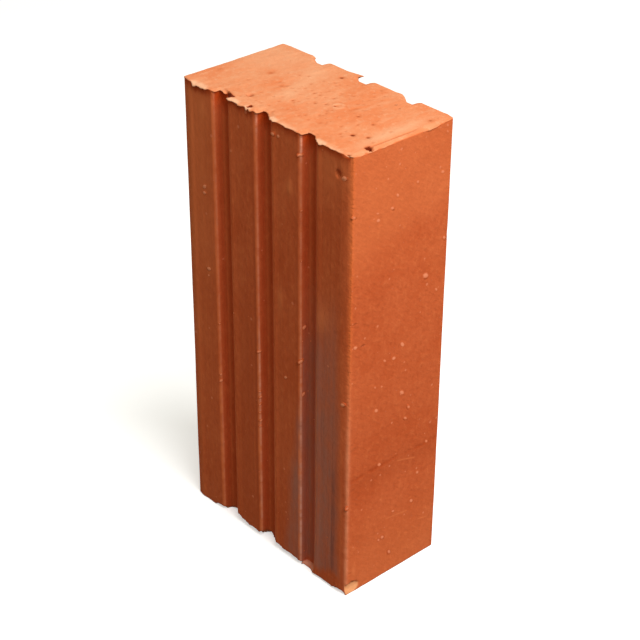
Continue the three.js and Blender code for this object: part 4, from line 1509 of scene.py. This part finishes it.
square = np.array([(-1, -1, 0), (1, -1, 0), (1, 1, 0), (-1, 1, 0)]) * FLOOR_HALF / MM
floor = mesh_piece("floor", square, [(0, 1, 2, 3)])
floor_finish, tree, at = new_material("pale_floor")
ray = add(tree, "ShaderNodeLightPath").outputs
mirrored = maths(tree, "MAXIMUM", ray["Is Glossy Ray"], ray["Is Transmission Ray"])
seen = maths(tree, "MAXIMUM", ray["Is Camera Ray"], mirrored)
seen_floor = add(tree, "ShaderNodeBsdfDiffuse", {"Color": FLOOR_SEEN}).outputs[0]
glow = add(tree, "ShaderNodeEmission", {"Color": WHITE, "Strength": FLOOR_GLOW}).outputs[0]
seen_floor = add(tree, "ShaderNodeAddShader", {0: seen_floor, 1: glow}).outputs[0]
felt_floor = add(tree, "ShaderNodeBsdfDiffuse", {"Color": FLOOR_FELT}).outputs[0]
mixed_floor = add(tree, "ShaderNodeMixShader", {0: seen, 1: felt_floor, 2: seen_floor}).outputs[0]
add(tree, "ShaderNodeOutputMaterial", {"Surface": mixed_floor})
floor.data.materials.append(floor_finish)
print("floor", 2 * FLOOR_HALF, "m square")

# %% World
SKY, SKY_STRENGTH = rgb(1, 0.98, 0.76), 0.29

world = bpy.data.worlds.new("studio")
world.use_nodes = True
tree = world.node_tree
tree.nodes.clear()
ray = add(tree, "ShaderNodeLightPath").outputs
sky = add(tree, "ShaderNodeBackground", {"Color": SKY, "Strength": SKY_STRENGTH}).outputs[0]
white = add(tree, "ShaderNodeBackground", {"Color": WHITE, "Strength": 1.0}).outputs[0]
seen = maths(tree, "MAXIMUM", ray["Is Camera Ray"], ray["Is Glossy Ray"])
backdrop = add(tree, "ShaderNodeMixShader", {0: seen, 1: sky, 2: white}).outputs[0]
add(tree, "ShaderNodeOutputWorld", {"Surface": backdrop})
bpy.context.scene.world = world
print("light from all round:", SKY_STRENGTH)

# %% Lamp
KEY_FROM = np.array([0.571, -0.050, 0.819])  # direction of the lamp, seen from the brick
KEY_AWAY, KEY_SIZE, KEY_POWER = 1.4, 1.1, 22.0

key_data = bpy.data.lights.new("key", "AREA")
key_data.shape = "DISK"
key_data.size = KEY_SIZE
key_data.energy = KEY_POWER
key = bpy.data.objects.new("key", key_data)
key_place = Vector(KEY_FROM / np.linalg.norm(KEY_FROM) * KEY_AWAY + [0, 0, LENGTH / 2 * MM])
facing = Vector(KEY_FROM).to_track_quat("Z", "Y").to_matrix().to_4x4()
key.matrix_world = Matrix.Translation(key_place) @ facing
bpy.context.scene.collection.objects.link(key)
bpy.context.scene.view_settings.view_transform = "Standard"
print("key lamp", KEY_POWER, "W at", [round(c, 2) for c in key_place])
